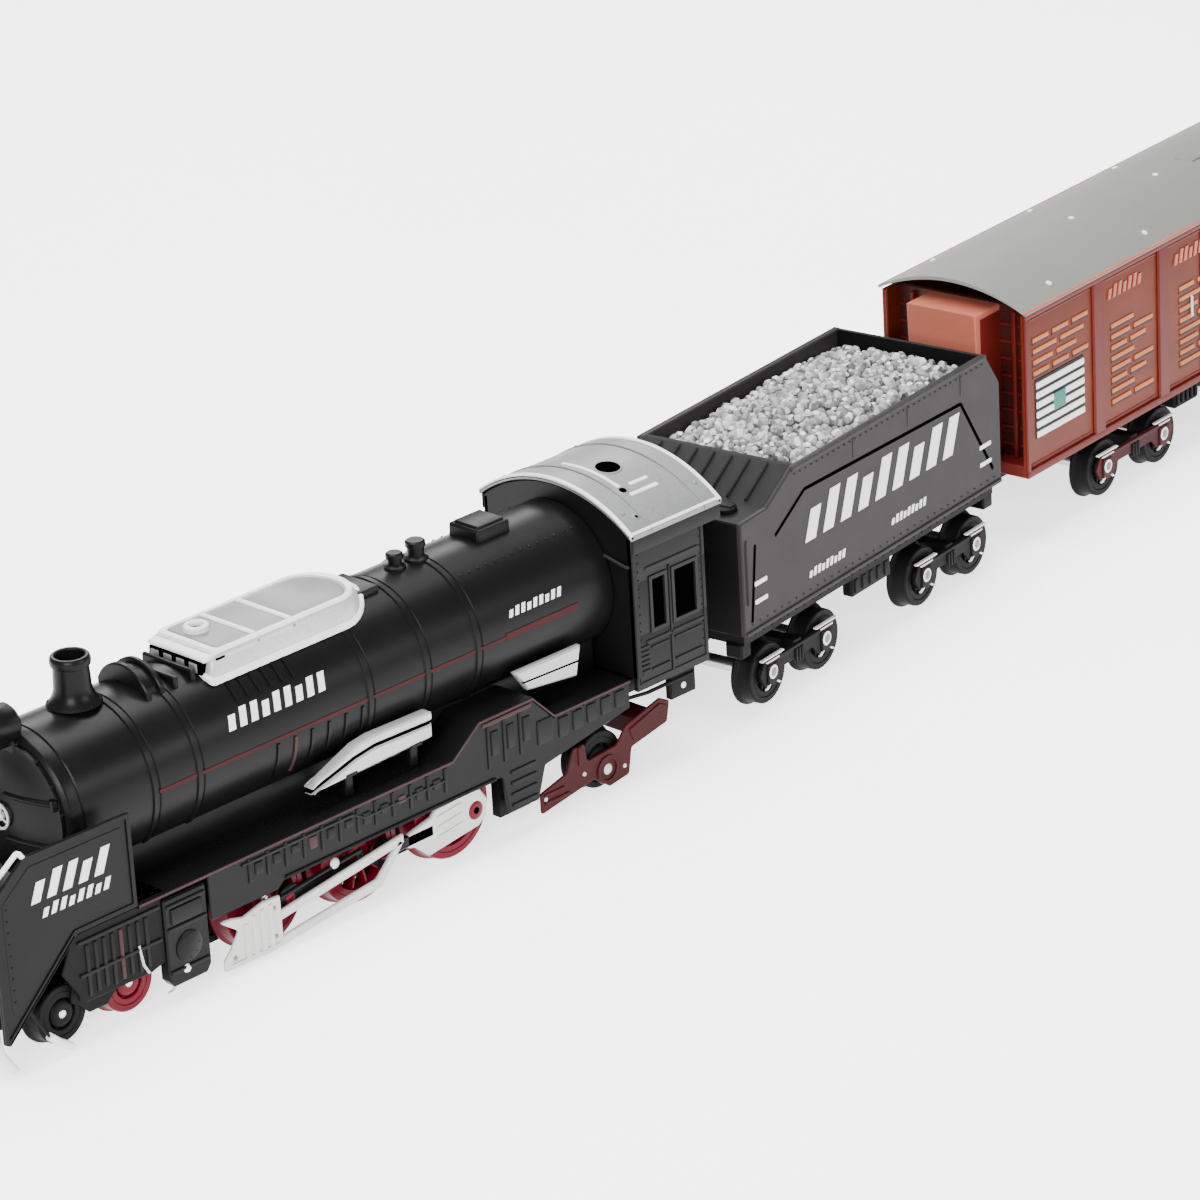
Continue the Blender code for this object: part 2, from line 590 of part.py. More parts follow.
def lead_bogie(loco):
    pivot = (LEAD_PIVOT_X, 0.0, LEAD_RADIUS)
    frame = block("lead_bogie_frame", (19.0, 43.0), (-12.0, 12.0), (9.2, 11.7), "frame_black", loco,
                  origin=pivot)
    for side in (1, -1):
        for end in (-1, 1):
            x = LEAD_PIVOT_X + end * LEAD_WHEELBASE / 2
            lug = block("axle_lug", (x - 2.6, x + 2.6), mirrored_y((9.4, 11.8), side), (4.2, 9.6),
                        "frame_black", loco)
            add(frame, lug)
    for end, label in ((-1, "front"), (1, "rear")):
        x = LEAD_PIVOT_X + end * LEAD_WHEELBASE / 2
        cut(frame, rod_along("lug_bore", (x, 0, LEAD_RADIUS), (-13, 13), 2.1, "y", "frame_black", loco))
        wheelset("lead_wheelset_" + label, LEAD_RADIUS, (x, 0.0, LEAD_RADIUS), WHEEL_SIDES, "red_plastic",
                 loco)
    return frame


def trailing_truck(loco):
    pivot = (TRAIL_PIVOT_X, 0.0, TRAIL_RADIUS)
    frame = block("trailing_truck_frame", (TRAIL_PIVOT_X - 3.0, TRAIL_PIVOT_X + 3.0), (-19.2, 19.2),
                  (9.0, 13.6), "red_plastic", loco, origin=pivot)
    sides = [(152.0, 1.6), (152.0, 6.4), (160.0, 8.4), (162.2, 13.2), (165.6, 13.2), (166.2, 9.0),
             (175.0, 9.6), (178.0, 13.0), (188.5, 15.6), (191.5, 14.0), (190.5, 9.4), (179.5, 7.4),
             (178.4, 1.6), (172.5, 0.8), (168.0, 4.0), (160.0, 2.8)]
    for side in (1, -1):
        add(frame, extrusion("truck_side", sides, mirrored_y((18.8, 19.8), side), "y", "red_plastic", loco))
    axle = (TRAIL_AXLE_X, 0.0, TRAIL_RADIUS)
    wheelset("trailing_wheelset", TRAIL_RADIUS, axle, WHEEL_SIDES, "red_plastic", loco)
    return frame


def car_bogie(vehicle, prefix, label, number, x, wheelbase):
    """A four-wheel bogie: a cross bolster under the car's pivot, and two side frames outside the wheels."""
    material = "frame_black"
    half = wheelbase / 2
    name = f"{prefix}_bogie_{label}"
    frame = block(name, (x - 1.6, x + 1.6), (-19.2, 19.2), (8.0, 12.2), material, vehicle,
                  origin=(x, 0.0, CAR_WHEEL_RADIUS))
    outline = [(-half - 4.6, 8.6), (-half - 2.6, 12.4), (half + 2.6, 12.4), (half + 4.6, 8.6),
               (half + 2.6, 5.0), (half - 2.6, 5.0), (half - 5.0, 8.0), (5.0 - half, 8.0), (2.6 - half, 5.0),
               (-half - 2.6, 5.0)]
    placed = [(x + a, z) for a, z in outline]
    for side in (1, -1):
        add(frame, extrusion("bogie_side", placed, mirrored_y((18.8, 20.0), side), "y", material, vehicle))
    for end in (-1, 1):
        axle = (x + end * half, 0.0, CAR_WHEEL_RADIUS)
        wheelset(f"{prefix}_wheelset_{number}", CAR_WHEEL_RADIUS, axle, WHEEL_SIDES, material, vehicle)
        number += 1
    return frame


def coupler_bar(name, length, frame):
    """A flat bar between two coupler pins, in the frame of its first pin."""
    reach = 2.9
    outline = []
    for end, start in ((0.0, math.pi / 2), (length, -math.pi / 2)):
        for k in range(7):
            angle = start + math.pi * k / 6
            outline.append((end + reach * math.cos(angle), reach * math.sin(angle)))
    bar = extrusion(name, outline, COUPLER_Z, "z", "frame_black", frame)
    for x in (0.0, length):
        cut(bar, rod_along("coupler_eye", (x, 0, 0), (COUPLER_Z[0] - 1, COUPLER_Z[1] + 1), 1.95, "z",
                           "frame_black", frame))
    return bar


# ---------------------------------------------------------------- tender and boxcar


def tender(vehicle):
    chassis = block("tender_chassis", (1.6, TENDER_LENGTH - 1.6), (-18.6, 18.6), CAR_FRAME_Z, "frame_black",
                    vehicle)
    for x in TENDER_BOGIES:
        add(chassis, rod_along("tender_boss", (x, 0, 0), (12.5, 18.5), 3.4, "z", "frame_black", vehicle))
    for x in (TENDER_FRONT_PIN_X, TENDER_REAR_PIN_X):
        add(chassis, rod_along("tender_pin", (x, 0, 0), (PIN_BOTTOM, 18.5), PIN_RADIUS, "z", "frame_black",
                               vehicle))
    outline = [(0.0, TENDER_FLOOR_Z), (0.0, 46.6), (10.2, 46.9), (20.3, TENDER_RIM_Z), (98.5, TENDER_RIM_Z),
               (TENDER_LENGTH, 44.6), (TENDER_LENGTH, TENDER_FLOOR_Z)]
    body = extrusion("tender_body", outline, (-TENDER_HALF, TENDER_HALF), "y", "tender_grey", vehicle)
    hollow = block("tender_hollow", (1.5, TENDER_LENGTH - 1.5), (-TENDER_HALF + 1.5, TENDER_HALF - 1.5),
                   (TENDER_FLOOR_Z - 2, 43.0), "tender_grey", vehicle)
    bunker = block("tender_bunker", (22.0, 97.0), (-18.9, 18.9), (44.6, TENDER_RIM_Z + 2), "tender_grey",
                   vehicle)
    cut(body, hollow, bunker)


def coal_load(vehicle):
    """The coal heap: a closed slab whose top swells towards the middle of the bunker."""
    columns = 12
    rows = 6
    x0, x1 = 22.4, 96.6
    half = 18.5
    floor = 44.9
    verts = []
    for level in (0, 1):
        for i in range(columns + 1):
            for j in range(rows + 1):
                u = i / columns
                v = j / rows
                bump = 0.35 * math.sin(5.1 * i + 2.7 * j) + 0.3 * math.cos(3.3 * i - 4.1 * j)
                swell = 50.6 + 4.6 * math.sin(math.pi * u) ** 0.6 * math.sin(math.pi * v) ** 0.8 + bump
                verts.append((x0 + (x1 - x0) * u, -half + 2 * half * v, swell if level else floor))
    wide = rows + 1
    layer = (columns + 1) * wide
    faces = []
    for i in range(columns):
        for j in range(rows):
            a = i * wide + j
            quad = (a, a + wide, a + wide + 1, a + 1)
            faces.append(quad)
            top = [layer + q for q in quad]
            faces += [(top[0], top[1], top[2]), (top[0], top[2], top[3])]
    rim = [i * wide for i in range(columns + 1)]
    rim += [columns * wide + j for j in range(1, wide)]
    rim += [i * wide + rows for i in range(columns - 1, -1, -1)]
    rim += [j for j in range(rows - 1, 0, -1)]
    for k, a in enumerate(rim):
        b = rim[(k + 1) % len(rim)]
        faces.append((a, b, layer + b, layer + a))
    make_object("coal_load", verts, faces, "coal_grey", vehicle)


def boxcar(vehicle):
    chassis = block("boxcar_chassis", (1.0, BOXCAR_LENGTH - 1.0), (-8.0, 8.0), SILL_Z, "frame_black", vehicle)
    add(chassis, rod_along("boxcar_pin", (BOXCAR_FRONT_PIN_X, 0, 0), (PIN_BOTTOM, 14.0), PIN_RADIUS, "z",
                           "frame_black", vehicle))
    body = block("boxcar_body", (0.0, BOXCAR_LENGTH), (-BOXCAR_HALF, BOXCAR_HALF), BOXCAR_Z, "boxcar_red",
                 vehicle)
    wall = PORCH_DEPTH + 1.5
    hold = block("boxcar_hold", (wall, BOXCAR_LENGTH - wall), (-18.5, 18.5), (18.2, 60.0), "boxcar_red",
                 vehicle)
    cut(body, hold)
    rear_wall = BOXCAR_LENGTH - PORCH_DEPTH
    ends = (
        ((-1.0, PORCH_DEPTH), (-VESTIBULE_REACH, PORCH_DEPTH + 1.0)),
        ((rear_wall, BOXCAR_LENGTH + 1.0), (rear_wall - 1.0, BOXCAR_LENGTH)),
    )
    for porch_x, vestibule_x in ends:
        cut(body, block("boxcar_porch", porch_x, (-18.2, 18.2), (19.4, 60.0), "boxcar_red", vehicle))
        add(body, block("boxcar_vestibule", vestibule_x, (-VESTIBULE_HALF, VESTIBULE_HALF),
                        (18.6, BOXCAR_Z[1] - 0.2), "boxcar_red", vehicle))
    over = arch(BOXCAR_HALF + 0.5, BOXCAR_Z[1] + 0.9, BOXCAR_ROOF_RISE, 8)
    under = arch(BOXCAR_HALF + 0.5, BOXCAR_Z[1] + CLEAR, BOXCAR_ROOF_RISE - 0.6, 8)
    roof_x = (-0.8, BOXCAR_LENGTH + 0.8)
    extrusion("boxcar_roof", over + under[::-1], roof_x, "x", "boxcar_roof_grey", vehicle)
    hook = [(-8.0, -3.0), (3.0, -3.0), (7.0, -4.4), (8.4, -2.6), (5.0, 0.0), (3.4, 3.0), (-8.0, 3.0)]
    placed = [(BOXCAR_LENGTH + a, b) for a, b in hook]
    root_x = (BOXCAR_LENGTH - 7.5, BOXCAR_LENGTH - 3.0)
    add(chassis, extrusion("boxcar_hook", placed, COUPLER_Z, "z", "frame_black", vehicle))
    add(chassis, block("hook_root", root_x, (-2.8, 2.8), (11.0, 13.0), "frame_black", vehicle))


def pin_place(place, yaw, x):
    """Where a pin at x on a vehicle's centreline is, in the locomotive's frame."""
    return place[0] + x * math.cos(yaw), place[1] + x * math.sin(yaw)


def coupler_frame(name, first, second, parent):
    dx = second[0] - first[0]
    dy = second[1] - first[1]
    return empty(name, first, math.atan2(dy, dx), parent), math.hypot(dx, dy)


def build_locomotive(loco):
    loco_chassis(loco)
    baseplate(loco)
    front_beam(loco)
    front_coupler(loco)
    boiler_shell(loco)
    smokebox_door(loco)
    headlamp_lens(loco)
    chimney(loco)
    dome_cover(loco)
    running_board(loco)
    cab_body(loco)
    cab_roof(loco)
    battery_parts(loco)
    electrics(loco)
    driver_wheelsets(loco)
    gear_train(loco)
    lead_bogie(loco)
    trailing_truck(loco)
    for side, label in ((1, "right"), (-1, "left")):
        deflector(loco, side, label)
        cylinder(loco, side, label)
        crosshead(loco, side, label)
        air_tank(loco, side, label)
        coupling_rod(loco, side, label)


def centre_train(train):
    """Moves the whole train so that the middle of its bounding box's base is the world's origin."""
    bpy.context.view_layer.update()
    graph = bpy.context.evaluated_depsgraph_get()
    corners = []
    for obj in bpy.data.objects:
        if obj.type == "MESH" and not obj.hide_render:
            shape = obj.evaluated_get(graph)
            corners += [shape.matrix_world @ Vector(corner) for corner in shape.bound_box]
    middle = [(min(c[i] for c in corners) + max(c[i] for c in corners)) / 2 for i in (0, 1)]
    train.location = (-middle[0], -middle[1], 0.0)


def main():
    clear_scene()
    train = empty("train_frame", (0, 0), 0.0, None)
    loco = empty("locomotive_frame", (0, 0), 0.0, train)
    tender_frame = empty("tender_frame", TENDER_PLACE, TENDER_YAW, train)
    boxcar_frame = empty("boxcar_frame", BOXCAR_PLACE, BOXCAR_YAW, train)
    build_locomotive(loco)
    tender(tender_frame)
    coal_load(tender_frame)
    boxcar(boxcar_frame)
    for index, label in enumerate(("front", "rear")):
        car_bogie(tender_frame, "tender", label, 1 + 2 * index, TENDER_BOGIES[index], TENDER_WHEELBASE)
        car_bogie(boxcar_frame, "boxcar", label, 1 + 2 * index, BOXCAR_BOGIES[index], BOXCAR_WHEELBASE)
    loco_pin = (LOCO_PIN_X, 0.0)
    tender_front = pin_place(TENDER_PLACE, TENDER_YAW, TENDER_FRONT_PIN_X)
    tender_rear = pin_place(TENDER_PLACE, TENDER_YAW, TENDER_REAR_PIN_X)
    boxcar_front = pin_place(BOXCAR_PLACE, BOXCAR_YAW, BOXCAR_FRONT_PIN_X)
    drawbar_frame, drawbar_length = coupler_frame("drawbar_frame", loco_pin, tender_front, train)
    link_frame, link_length = coupler_frame("link_frame", tender_rear, boxcar_front, train)
    coupler_bar("drawbar", drawbar_length, drawbar_frame)
    coupler_bar("coupler_link", link_length, link_frame)
    centre_train(train)


main()
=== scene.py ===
import json
import math
import random

import bmesh
import bpy
from mathutils import Matrix, Vector


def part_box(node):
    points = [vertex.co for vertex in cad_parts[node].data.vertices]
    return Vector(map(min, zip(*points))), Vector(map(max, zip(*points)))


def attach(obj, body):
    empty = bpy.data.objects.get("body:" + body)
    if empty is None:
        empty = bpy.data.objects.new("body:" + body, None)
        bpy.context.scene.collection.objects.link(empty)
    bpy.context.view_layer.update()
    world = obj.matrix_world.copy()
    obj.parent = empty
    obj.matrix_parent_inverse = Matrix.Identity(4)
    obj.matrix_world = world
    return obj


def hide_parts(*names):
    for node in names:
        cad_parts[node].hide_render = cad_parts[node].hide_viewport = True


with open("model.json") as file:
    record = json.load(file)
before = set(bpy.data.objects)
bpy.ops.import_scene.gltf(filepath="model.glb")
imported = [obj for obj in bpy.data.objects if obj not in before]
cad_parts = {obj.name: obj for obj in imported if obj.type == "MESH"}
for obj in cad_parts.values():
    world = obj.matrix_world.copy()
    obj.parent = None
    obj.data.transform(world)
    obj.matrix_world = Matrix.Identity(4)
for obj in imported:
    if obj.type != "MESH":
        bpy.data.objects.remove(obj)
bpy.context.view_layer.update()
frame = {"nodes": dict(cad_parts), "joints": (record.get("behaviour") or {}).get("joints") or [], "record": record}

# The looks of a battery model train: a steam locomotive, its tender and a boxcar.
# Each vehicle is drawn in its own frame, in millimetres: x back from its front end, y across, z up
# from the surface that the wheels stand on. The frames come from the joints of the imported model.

MM = 0.001
SEED = 7
SIDES = ((1, "right"), (-1, "left"))
OUT = (0, 1, 0)                 # away from the centreline, on the side being drawn
UP = (0, 0, 1)

BODIES = frame["record"]["behaviour"]["bodies"]
BODY_OF = {node: body for body, nodes in BODIES.items() for node in nodes}
SLOT_OF = {part["node"]: part["material_slot"] for part in frame["record"]["subparts"]}
PIVOTS = {joint["name"]: Vector(joint["pos_m"]) for joint in frame["joints"] if "pos_m" in joint}

# Locomotive.
DRIVER_X = (75.8, 101.8, 127.8)
DRIVER_RADIUS = 11.3
CRANK_THROW = 5.5
CRANK_ANGLE = math.radians(-15)
PIN_DX = CRANK_THROW * math.cos(CRANK_ANGLE)
PIN_Z = DRIVER_RADIUS + CRANK_THROW * math.sin(CRANK_ANGLE)
BOILER_RADIUS = 16.4
BOILER_AXIS_Z = 42.6
BOILER_X = (34, 179.4)
SHELL_WALL = 1.5
OPEN_HALF = 11.4                # half width of the slot along the boiler's underside
BOILER_BANDS = (52, 63.5, 109.5, 125.5, 140)
LAMP_Z = 61
CHIMNEY_X = 47.2
DOME_X = (73.6, 120.8)
DOME_HALF = 10.2
DOME_TOP = 61.8
BOARD_TOP = 24.15
BOARD_THICK = 0.9
BOARD_HALF = 21.5
PLATFORM_Z = 30
CYLINDER_AT = (52.7, 11)        # x and z of the cylinder's axis
CAB_X = (180, 202)
CAB_HALF = 22
CAB_FLOOR_Z = 20.4
WINDOW_Z = (33, 44.7)
EAVE_Z = 55.3
ROOF_RISE = 7.5
ROOF_X = (179.4, 207)
SPEAKER_X = 194
LEAD_PIVOT_X = 31
LEAD_HALF_BASE = 8.5
LEAD_RADIUS = 7
TRAIL_AXLE_X = 171
TRAIL_RADIUS = 7.3
CELL_X = 122.6
CELL_Z = (("lower", 32.1), ("upper", 46.9))
BOARD_Z = 38                    # the circuit board's upper face

# Cars.
CAR_RADIUS = 7.8
TENDER_BOGIES = (21, 83)
TENDER_HALF_BASE = 10.5
TENDER_LENGTH = 104.2
TENDER_HALF = 20.6
TENDER_SKIN = TENDER_HALF - 0.4
TENDER_INNER_HALF = 19.2
TENDER_FLOOR_Z = 20.3
TENDER_RIM_Z = 52.9
COAL_HALF = 18.4
BOXCAR_BOGIES = (46, 104)
BOXCAR_HALF_BASE = 12.3
BOXCAR_LENGTH = 150
BOXCAR_HALF = 20
BOXCAR_SKIN = BOXCAR_HALF - 0.7
BOXCAR_Z = (16.5, 56.4)
BOXCAR_ROOF_RISE = 5.4
BOXCAR_END_LEAN = 1.6           # how much further back the vestibule's foot stands than its top
VESTIBULE_FOOT_Z = 18.6


def vehicle_frame(front_joint, front_x, rear_joint):
    """A vehicle's millimetres to metres in the row's frame, from two joints on its centreline."""
    front = PIVOTS[front_joint]
    run = PIVOTS[rear_joint] - front
    turn = Matrix.Rotation(math.atan2(run.y, run.x), 4, "Z")
    origin = front - turn @ Vector((front_x * MM, 0, 0))
    return Matrix.Translation((origin.x, origin.y, 0)) @ turn @ Matrix.Scale(MM, 4)


LOCO = vehicle_frame("driver_1_spin", DRIVER_X[0], "driver_3_spin")
TENDER = vehicle_frame("tender_bogie_front_yaw", TENDER_BOGIES[0], "tender_bogie_rear_yaw")
BOXCAR = vehicle_frame("boxcar_bogie_front_yaw", BOXCAR_BOGIES[0], "boxcar_bogie_rear_yaw")


# ---------------------------------------------------------------- materials


class Paint:
    """A material's node tree, with its principled shader and the object's own metres as coordinates."""

    def __init__(self, name):
        self.made = bpy.data.materials.new(name)
        self.made.use_nodes = True
        self.tree = self.made.node_tree
        self.shader = self.tree.nodes["Principled BSDF"]
        self.coords = self.node("TexCoord").outputs["Object"]

    def node(self, kind, **values):
        """A new node, its sockets set by name, with _ for a space; a socket as a value is linked."""
        made = self.tree.nodes.new("ShaderNode" + kind)
        for name, value in values.items():
            self.put(made.inputs[name.replace("_", " ")], value)
        return made

    def put(self, socket, value):
        if isinstance(value, bpy.types.NodeSocket):
            self.tree.links.new(value, socket)
        elif isinstance(value, tuple) and socket.type == "RGBA":
            socket.default_value = (*value, 1)
        else:
            socket.default_value = value

    def shade(self, **values):
        for name, value in values.items():
            self.put(self.shader.inputs[name.replace("_", " ")], value)

    def noise(self, scale, detail=3, stretch=None):
        """Scale is features per metre."""
        source = self.coords
        if stretch:
            source = self.node("Mapping", Vector=source, Scale=stretch).outputs["Vector"]
        return self.node("TexNoise", Vector=source, Scale=scale, Detail=detail).outputs["Fac"]

    def ramp(self, value, low, high, out_low=0, out_high=1):
        return self.node("MapRange", Value=value, From_Min=low, From_Max=high, To_Min=out_low,
                         To_Max=out_high).outputs["Result"]

    def blend(self, factor, first, second):
        mix = self.tree.nodes.new("ShaderNodeMix")
        mix.data_type = "RGBA"
        for index, value in ((0, factor), (6, first), (7, second)):
            self.put(mix.inputs[index], value)
        return mix.outputs[2]

    def bump(self, height, strength, distance_mm):
        node = self.node("Bump", Strength=strength, Distance=distance_mm * MM, Height=height)
        self.shade(Normal=node.outputs["Normal"])


def moulded(name, colour, roughness, metallic=0, mottle=0.06, grain=0.10, coat=0, stretch=None, sheen=0.5,
            speckle=0):
    """Moulded or painted plastic: slow colour drift, fine specks, a fine skin, and smears in the gloss."""
    paint = Paint(name)
    dark = tuple(c * (1 - mottle) for c in colour)
    light = tuple(min(1, c * (1 + mottle)) for c in colour)
    tint = paint.blend(paint.ramp(paint.noise(70, 4, stretch), 0.3, 0.7), dark, light)
    if speckle:
        specks = paint.ramp(paint.noise(1500, 2), 0.56, 0.70, 0, speckle)
        tint = paint.blend(specks, tint, tuple(c * 0.45 for c in colour))
    smear = paint.ramp(paint.noise(150), 0.3, 0.7, roughness - 0.02, roughness + 0.03)
    paint.shade(Base_Color=tint, Roughness=smear, Metallic=metallic, Specular_IOR_Level=sheen,
                Coat_Weight=coat, Coat_Roughness=0.22)
    paint.bump(paint.noise(2600, 2), grain, 0.04)
    return paint.made


def lens_plastic():
    paint = Paint("lens_plastic")
    cloud = paint.ramp(paint.noise(500), 0.3, 0.7)
    paint.shade(Base_Color=paint.blend(cloud, (0.84, 0.82, 0.74), (0.95, 0.94, 0.90)), Roughness=0.08,
                Transmission_Weight=0.75, IOR=1.49)
    paint.bump(paint.noise(1500), 0.05, 0.05)
    return paint.made


def coal_lumps():
    """Light grey moulded coal: each lump has its own shade, from dark grey to silver."""
    paint = Paint("silvered_coal")
    shade = paint.ramp(paint.node("NewGeometry").outputs["Random Per Island"], 0, 1)
    tint = paint.blend(shade, (0.045, 0.045, 0.048), (0.50, 0.50, 0.50))
    patches = paint.ramp(paint.noise(520), 0.50, 0.62, 0, 0.65)
    paint.shade(Base_Color=paint.blend(patches, tint, (0.10, 0.10, 0.10)), Metallic=0.1,
                Roughness=paint.ramp(paint.noise(900), 0.3, 0.7, 0.30, 0.62))
    paint.bump(paint.noise(1400, 4), 0.5, 0.15)
    return paint.made


def circuit_laminate():
    paint = Paint("circuit_laminate")
    tracks = paint.node("TexBrick", Vector=paint.coords, Scale=260, Color1=(0.015, 0.13, 0.05),
                        Color2=(0.02, 0.17, 0.065), Mortar=(0.06, 0.30, 0.12))
    paint.shade(Base_Color=tracks.outputs["Color"], Roughness=0.32)
    paint.bump(tracks.outputs["Fac"], 0.3, 0.05)
    return paint.made


# Each look's colour and roughness, and whatever else of moulded() it sets.
MOULDED = {
    "black_plastic": ((0.0036, 0.0034, 0.0036), 0.33, dict(mottle=0.15, sheen=0.09)),
    "frame_black": ((0.0030, 0.0030, 0.0032), 0.50, dict(mottle=0.15, sheen=0.07)),
    "red_plastic": ((0.085, 0.0008, 0.0070), 0.30, dict(coat=0.05, sheen=0.10)),
    "silver_paint": ((0.36, 0.365, 0.365), 0.34, dict(metallic=0.25, speckle=0.35)),
    "panel_grey": ((0.13, 0.132, 0.134), 0.40, dict(metallic=0.2, grain=0.2, speckle=0.3)),
    "roof_grey": ((0.135, 0.137, 0.140), 0.42, dict(metallic=0.15, speckle=0.45)),
    "rod_silver": ((0.40, 0.39, 0.38), 0.32, dict(metallic=0.15, speckle=0.25)),
    "nylon_white": ((0.55, 0.54, 0.50), 0.42, dict(mottle=0.04, grain=0.15)),
    "cell_jacket": ((0.02, 0.05, 0.13), 0.30, dict(coat=0.5)),
    "tender_grey": ((0.0190, 0.0163, 0.0176), 0.44, dict(mottle=0.08, sheen=0.07)),
    "cab_frame": ((0.0110, 0.0110, 0.0116), 0.42, dict(sheen=0.08)),
    "boxcar_red": ((0.086, 0.0105, 0.0024), 0.42, dict(mottle=0.18, stretch=(0.6, 3, 3), sheen=0.12)),
    "boxcar_post": ((0.080, 0.0065, 0.0048), 0.40, dict(mottle=0.12, sheen=0.12)),
    # The darker red below is painted shade: the boxcar's end walls set back in the shell, and a strip under each
    # slat as its painted shadow.
    "boxcar_painted_shade": ((0.028, 0.003, 0.002), 0.55, dict(mottle=0.12, sheen=0.2)),
    # The salmon below is a paler copy of the car's red: painted light on the vestibule's face and ribs, and the
    # colour of printed bars and trim elsewhere.
    "boxcar_salmon": ((0.30, 0.082, 0.052), 0.45, dict(mottle=0.10, sheen=0.15)),
    "boxcar_roof_grey": ((0.118, 0.123, 0.110), 0.50, dict(mottle=0.03, grain=0.12)),
    "white_print": ((0.62, 0.61, 0.60), 0.45, dict(mottle=0.03)),
    "orange_print": ((0.30, 0.085, 0.024), 0.40, dict(mottle=0.14, sheen=0.15)),
    "placard_teal": ((0.02, 0.13, 0.10), 0.40, dict(sheen=0.15)),
    "pinstripe": ((0.030, 0.0022, 0.0036), 0.42, dict(mottle=0.2, sheen=0.08)),
    "edge_line": ((0.034, 0.016, 0.018), 0.42, dict(mottle=0.15, sheen=0.08)),
    # The near-black look below, with no sheen, is painted shade: it fills slots, holes, gaps, grooves and window
    # openings.
    "painted_shade_black": ((0.0006, 0.0006, 0.0006), 0.70, dict(mottle=0.1, sheen=0)),
    "screw_steel": ((0.40, 0.40, 0.40), 0.30, dict(metallic=1)),
}
LOOKS = {name: moulded(name, colour, rough, **more) for name, (colour, rough, more) in MOULDED.items()}
LOOKS["motor_steel"] = moulded("drawn_steel", (0.56, 0.56, 0.57), 0.28, 1, mottle=0.10, grain=0.25,
                               stretch=(1, 30, 30))
LOOKS["clear_lens"] = lens_plastic()
LOOKS["coal_grey"] = coal_lumps()
LOOKS["circuit_green"] = circuit_laminate()


# ---------------------------------------------------------------- shapes


def fillet(points, radius, steps=3, closed=True):
    """An outline or a path with its corners rounded."""
    corners = [Vector(p) for p in points]
    count = len(corners)
    result = []
    for i, corner in enumerate(corners):
        back = corners[i - 1] - corner
        ahead = corners[(i + 1) % count] - corner
        an_end = not closed and i in (0, count - 1)
        if an_end or back.angle(ahead) > math.radians(172):
            result.append(corner)
            continue
        reach = min(radius / math.tan(back.angle(ahead) / 2), back.length * 0.45, ahead.length * 0.45)
        start = corner + back.normalized() * reach
        end = corner + ahead.normalized() * reach
        for k in range(steps + 1):
            t = k / steps
            result.append(start * (1 - t) ** 2 + corner * (2 * t * (1 - t)) + end * t ** 2)
    return result


def inset(points, amount):
    """A closed flat outline moved inwards by the same amount all round."""
    corners = [Vector(p) for p in points]
    count = len(corners)
    area = sum(corners[i - 1].cross(corners[i]) for i in range(count))
    side = 1 if area > 0 else -1
    result = []
    for i, corner in enumerate(corners):
        first = (corner - corners[i - 1]).normalized()
        second = (corners[(i + 1) % count] - corner).normalized()
        first_normal = Vector((-first.y, first.x)) * side
        second_normal = Vector((-second.y, second.x)) * side
        spread = max(0.4, 1 + first_normal.dot(second_normal))
        result.append(corner + (first_normal + second_normal) * (amount / spread))
    return result


def arch_radius(half, rise):
    return (half * half + rise * rise) / (2 * rise)


def arch(half, eave, rise, steps):
    """Points of a circular arch from +half to -half, highest in the middle."""
    radius = arch_radius(half, rise)
    sweep = math.asin(half / radius)
    angles = [sweep * (1 - 2 * k / steps) for k in range(steps + 1)]
    return [(radius * math.sin(a), eave + rise - radius + radius * math.cos(a)) for a in angles]


def arched_strip(half, low, low_rise, high, high_rise, steps):
    """The section of a curved roof between two arches."""
    return arch(half, high, high_rise, steps) + arch(half, low, low_rise, steps)[::-1]


def around(count, radius=1, start=0):
    """Evenly spaced points of a circle, the first one start steps past the first axis."""
    angles = [2 * math.pi * (k + start) / count for k in range(count)]
    return [(radius * math.cos(a), radius * math.sin(a)) for a in angles]


def rect(x, z):
    return [(x[0], z[0]), (x[1], z[0]), (x[1], z[1]), (x[0], z[1])]


def about(middle, reach):
    return (middle - reach, middle + reach)


def shift(points, dx, dz=0):
    return [(x + dx, z + dz) for x, z in points]


def slanted_bars(x, z, count, slant, share=0.56, short=0.78):
    """Outlines of a plain row of slanted bars, every third one shorter."""
    pitch = (x[1] - x[0] - slant) / count
    for k in range(count):
        tall = 1 if k % 3 else short
        foot = (x[0] + k * pitch, x[0] + (k + share) * pitch)
        top = z[0] + (z[1] - z[0]) * tall
        yield [(foot[0], z[0]), (foot[1], z[0]), (foot[1] + slant * tall, top), (foot[0] + slant * tall, top)]


PLACE = {
    "x": lambda p, s: (s, p[0], p[1]),
    "y": lambda p, s: (p[0], s, p[1]),
    "z": lambda p, s: (p[0], p[1], s),
}


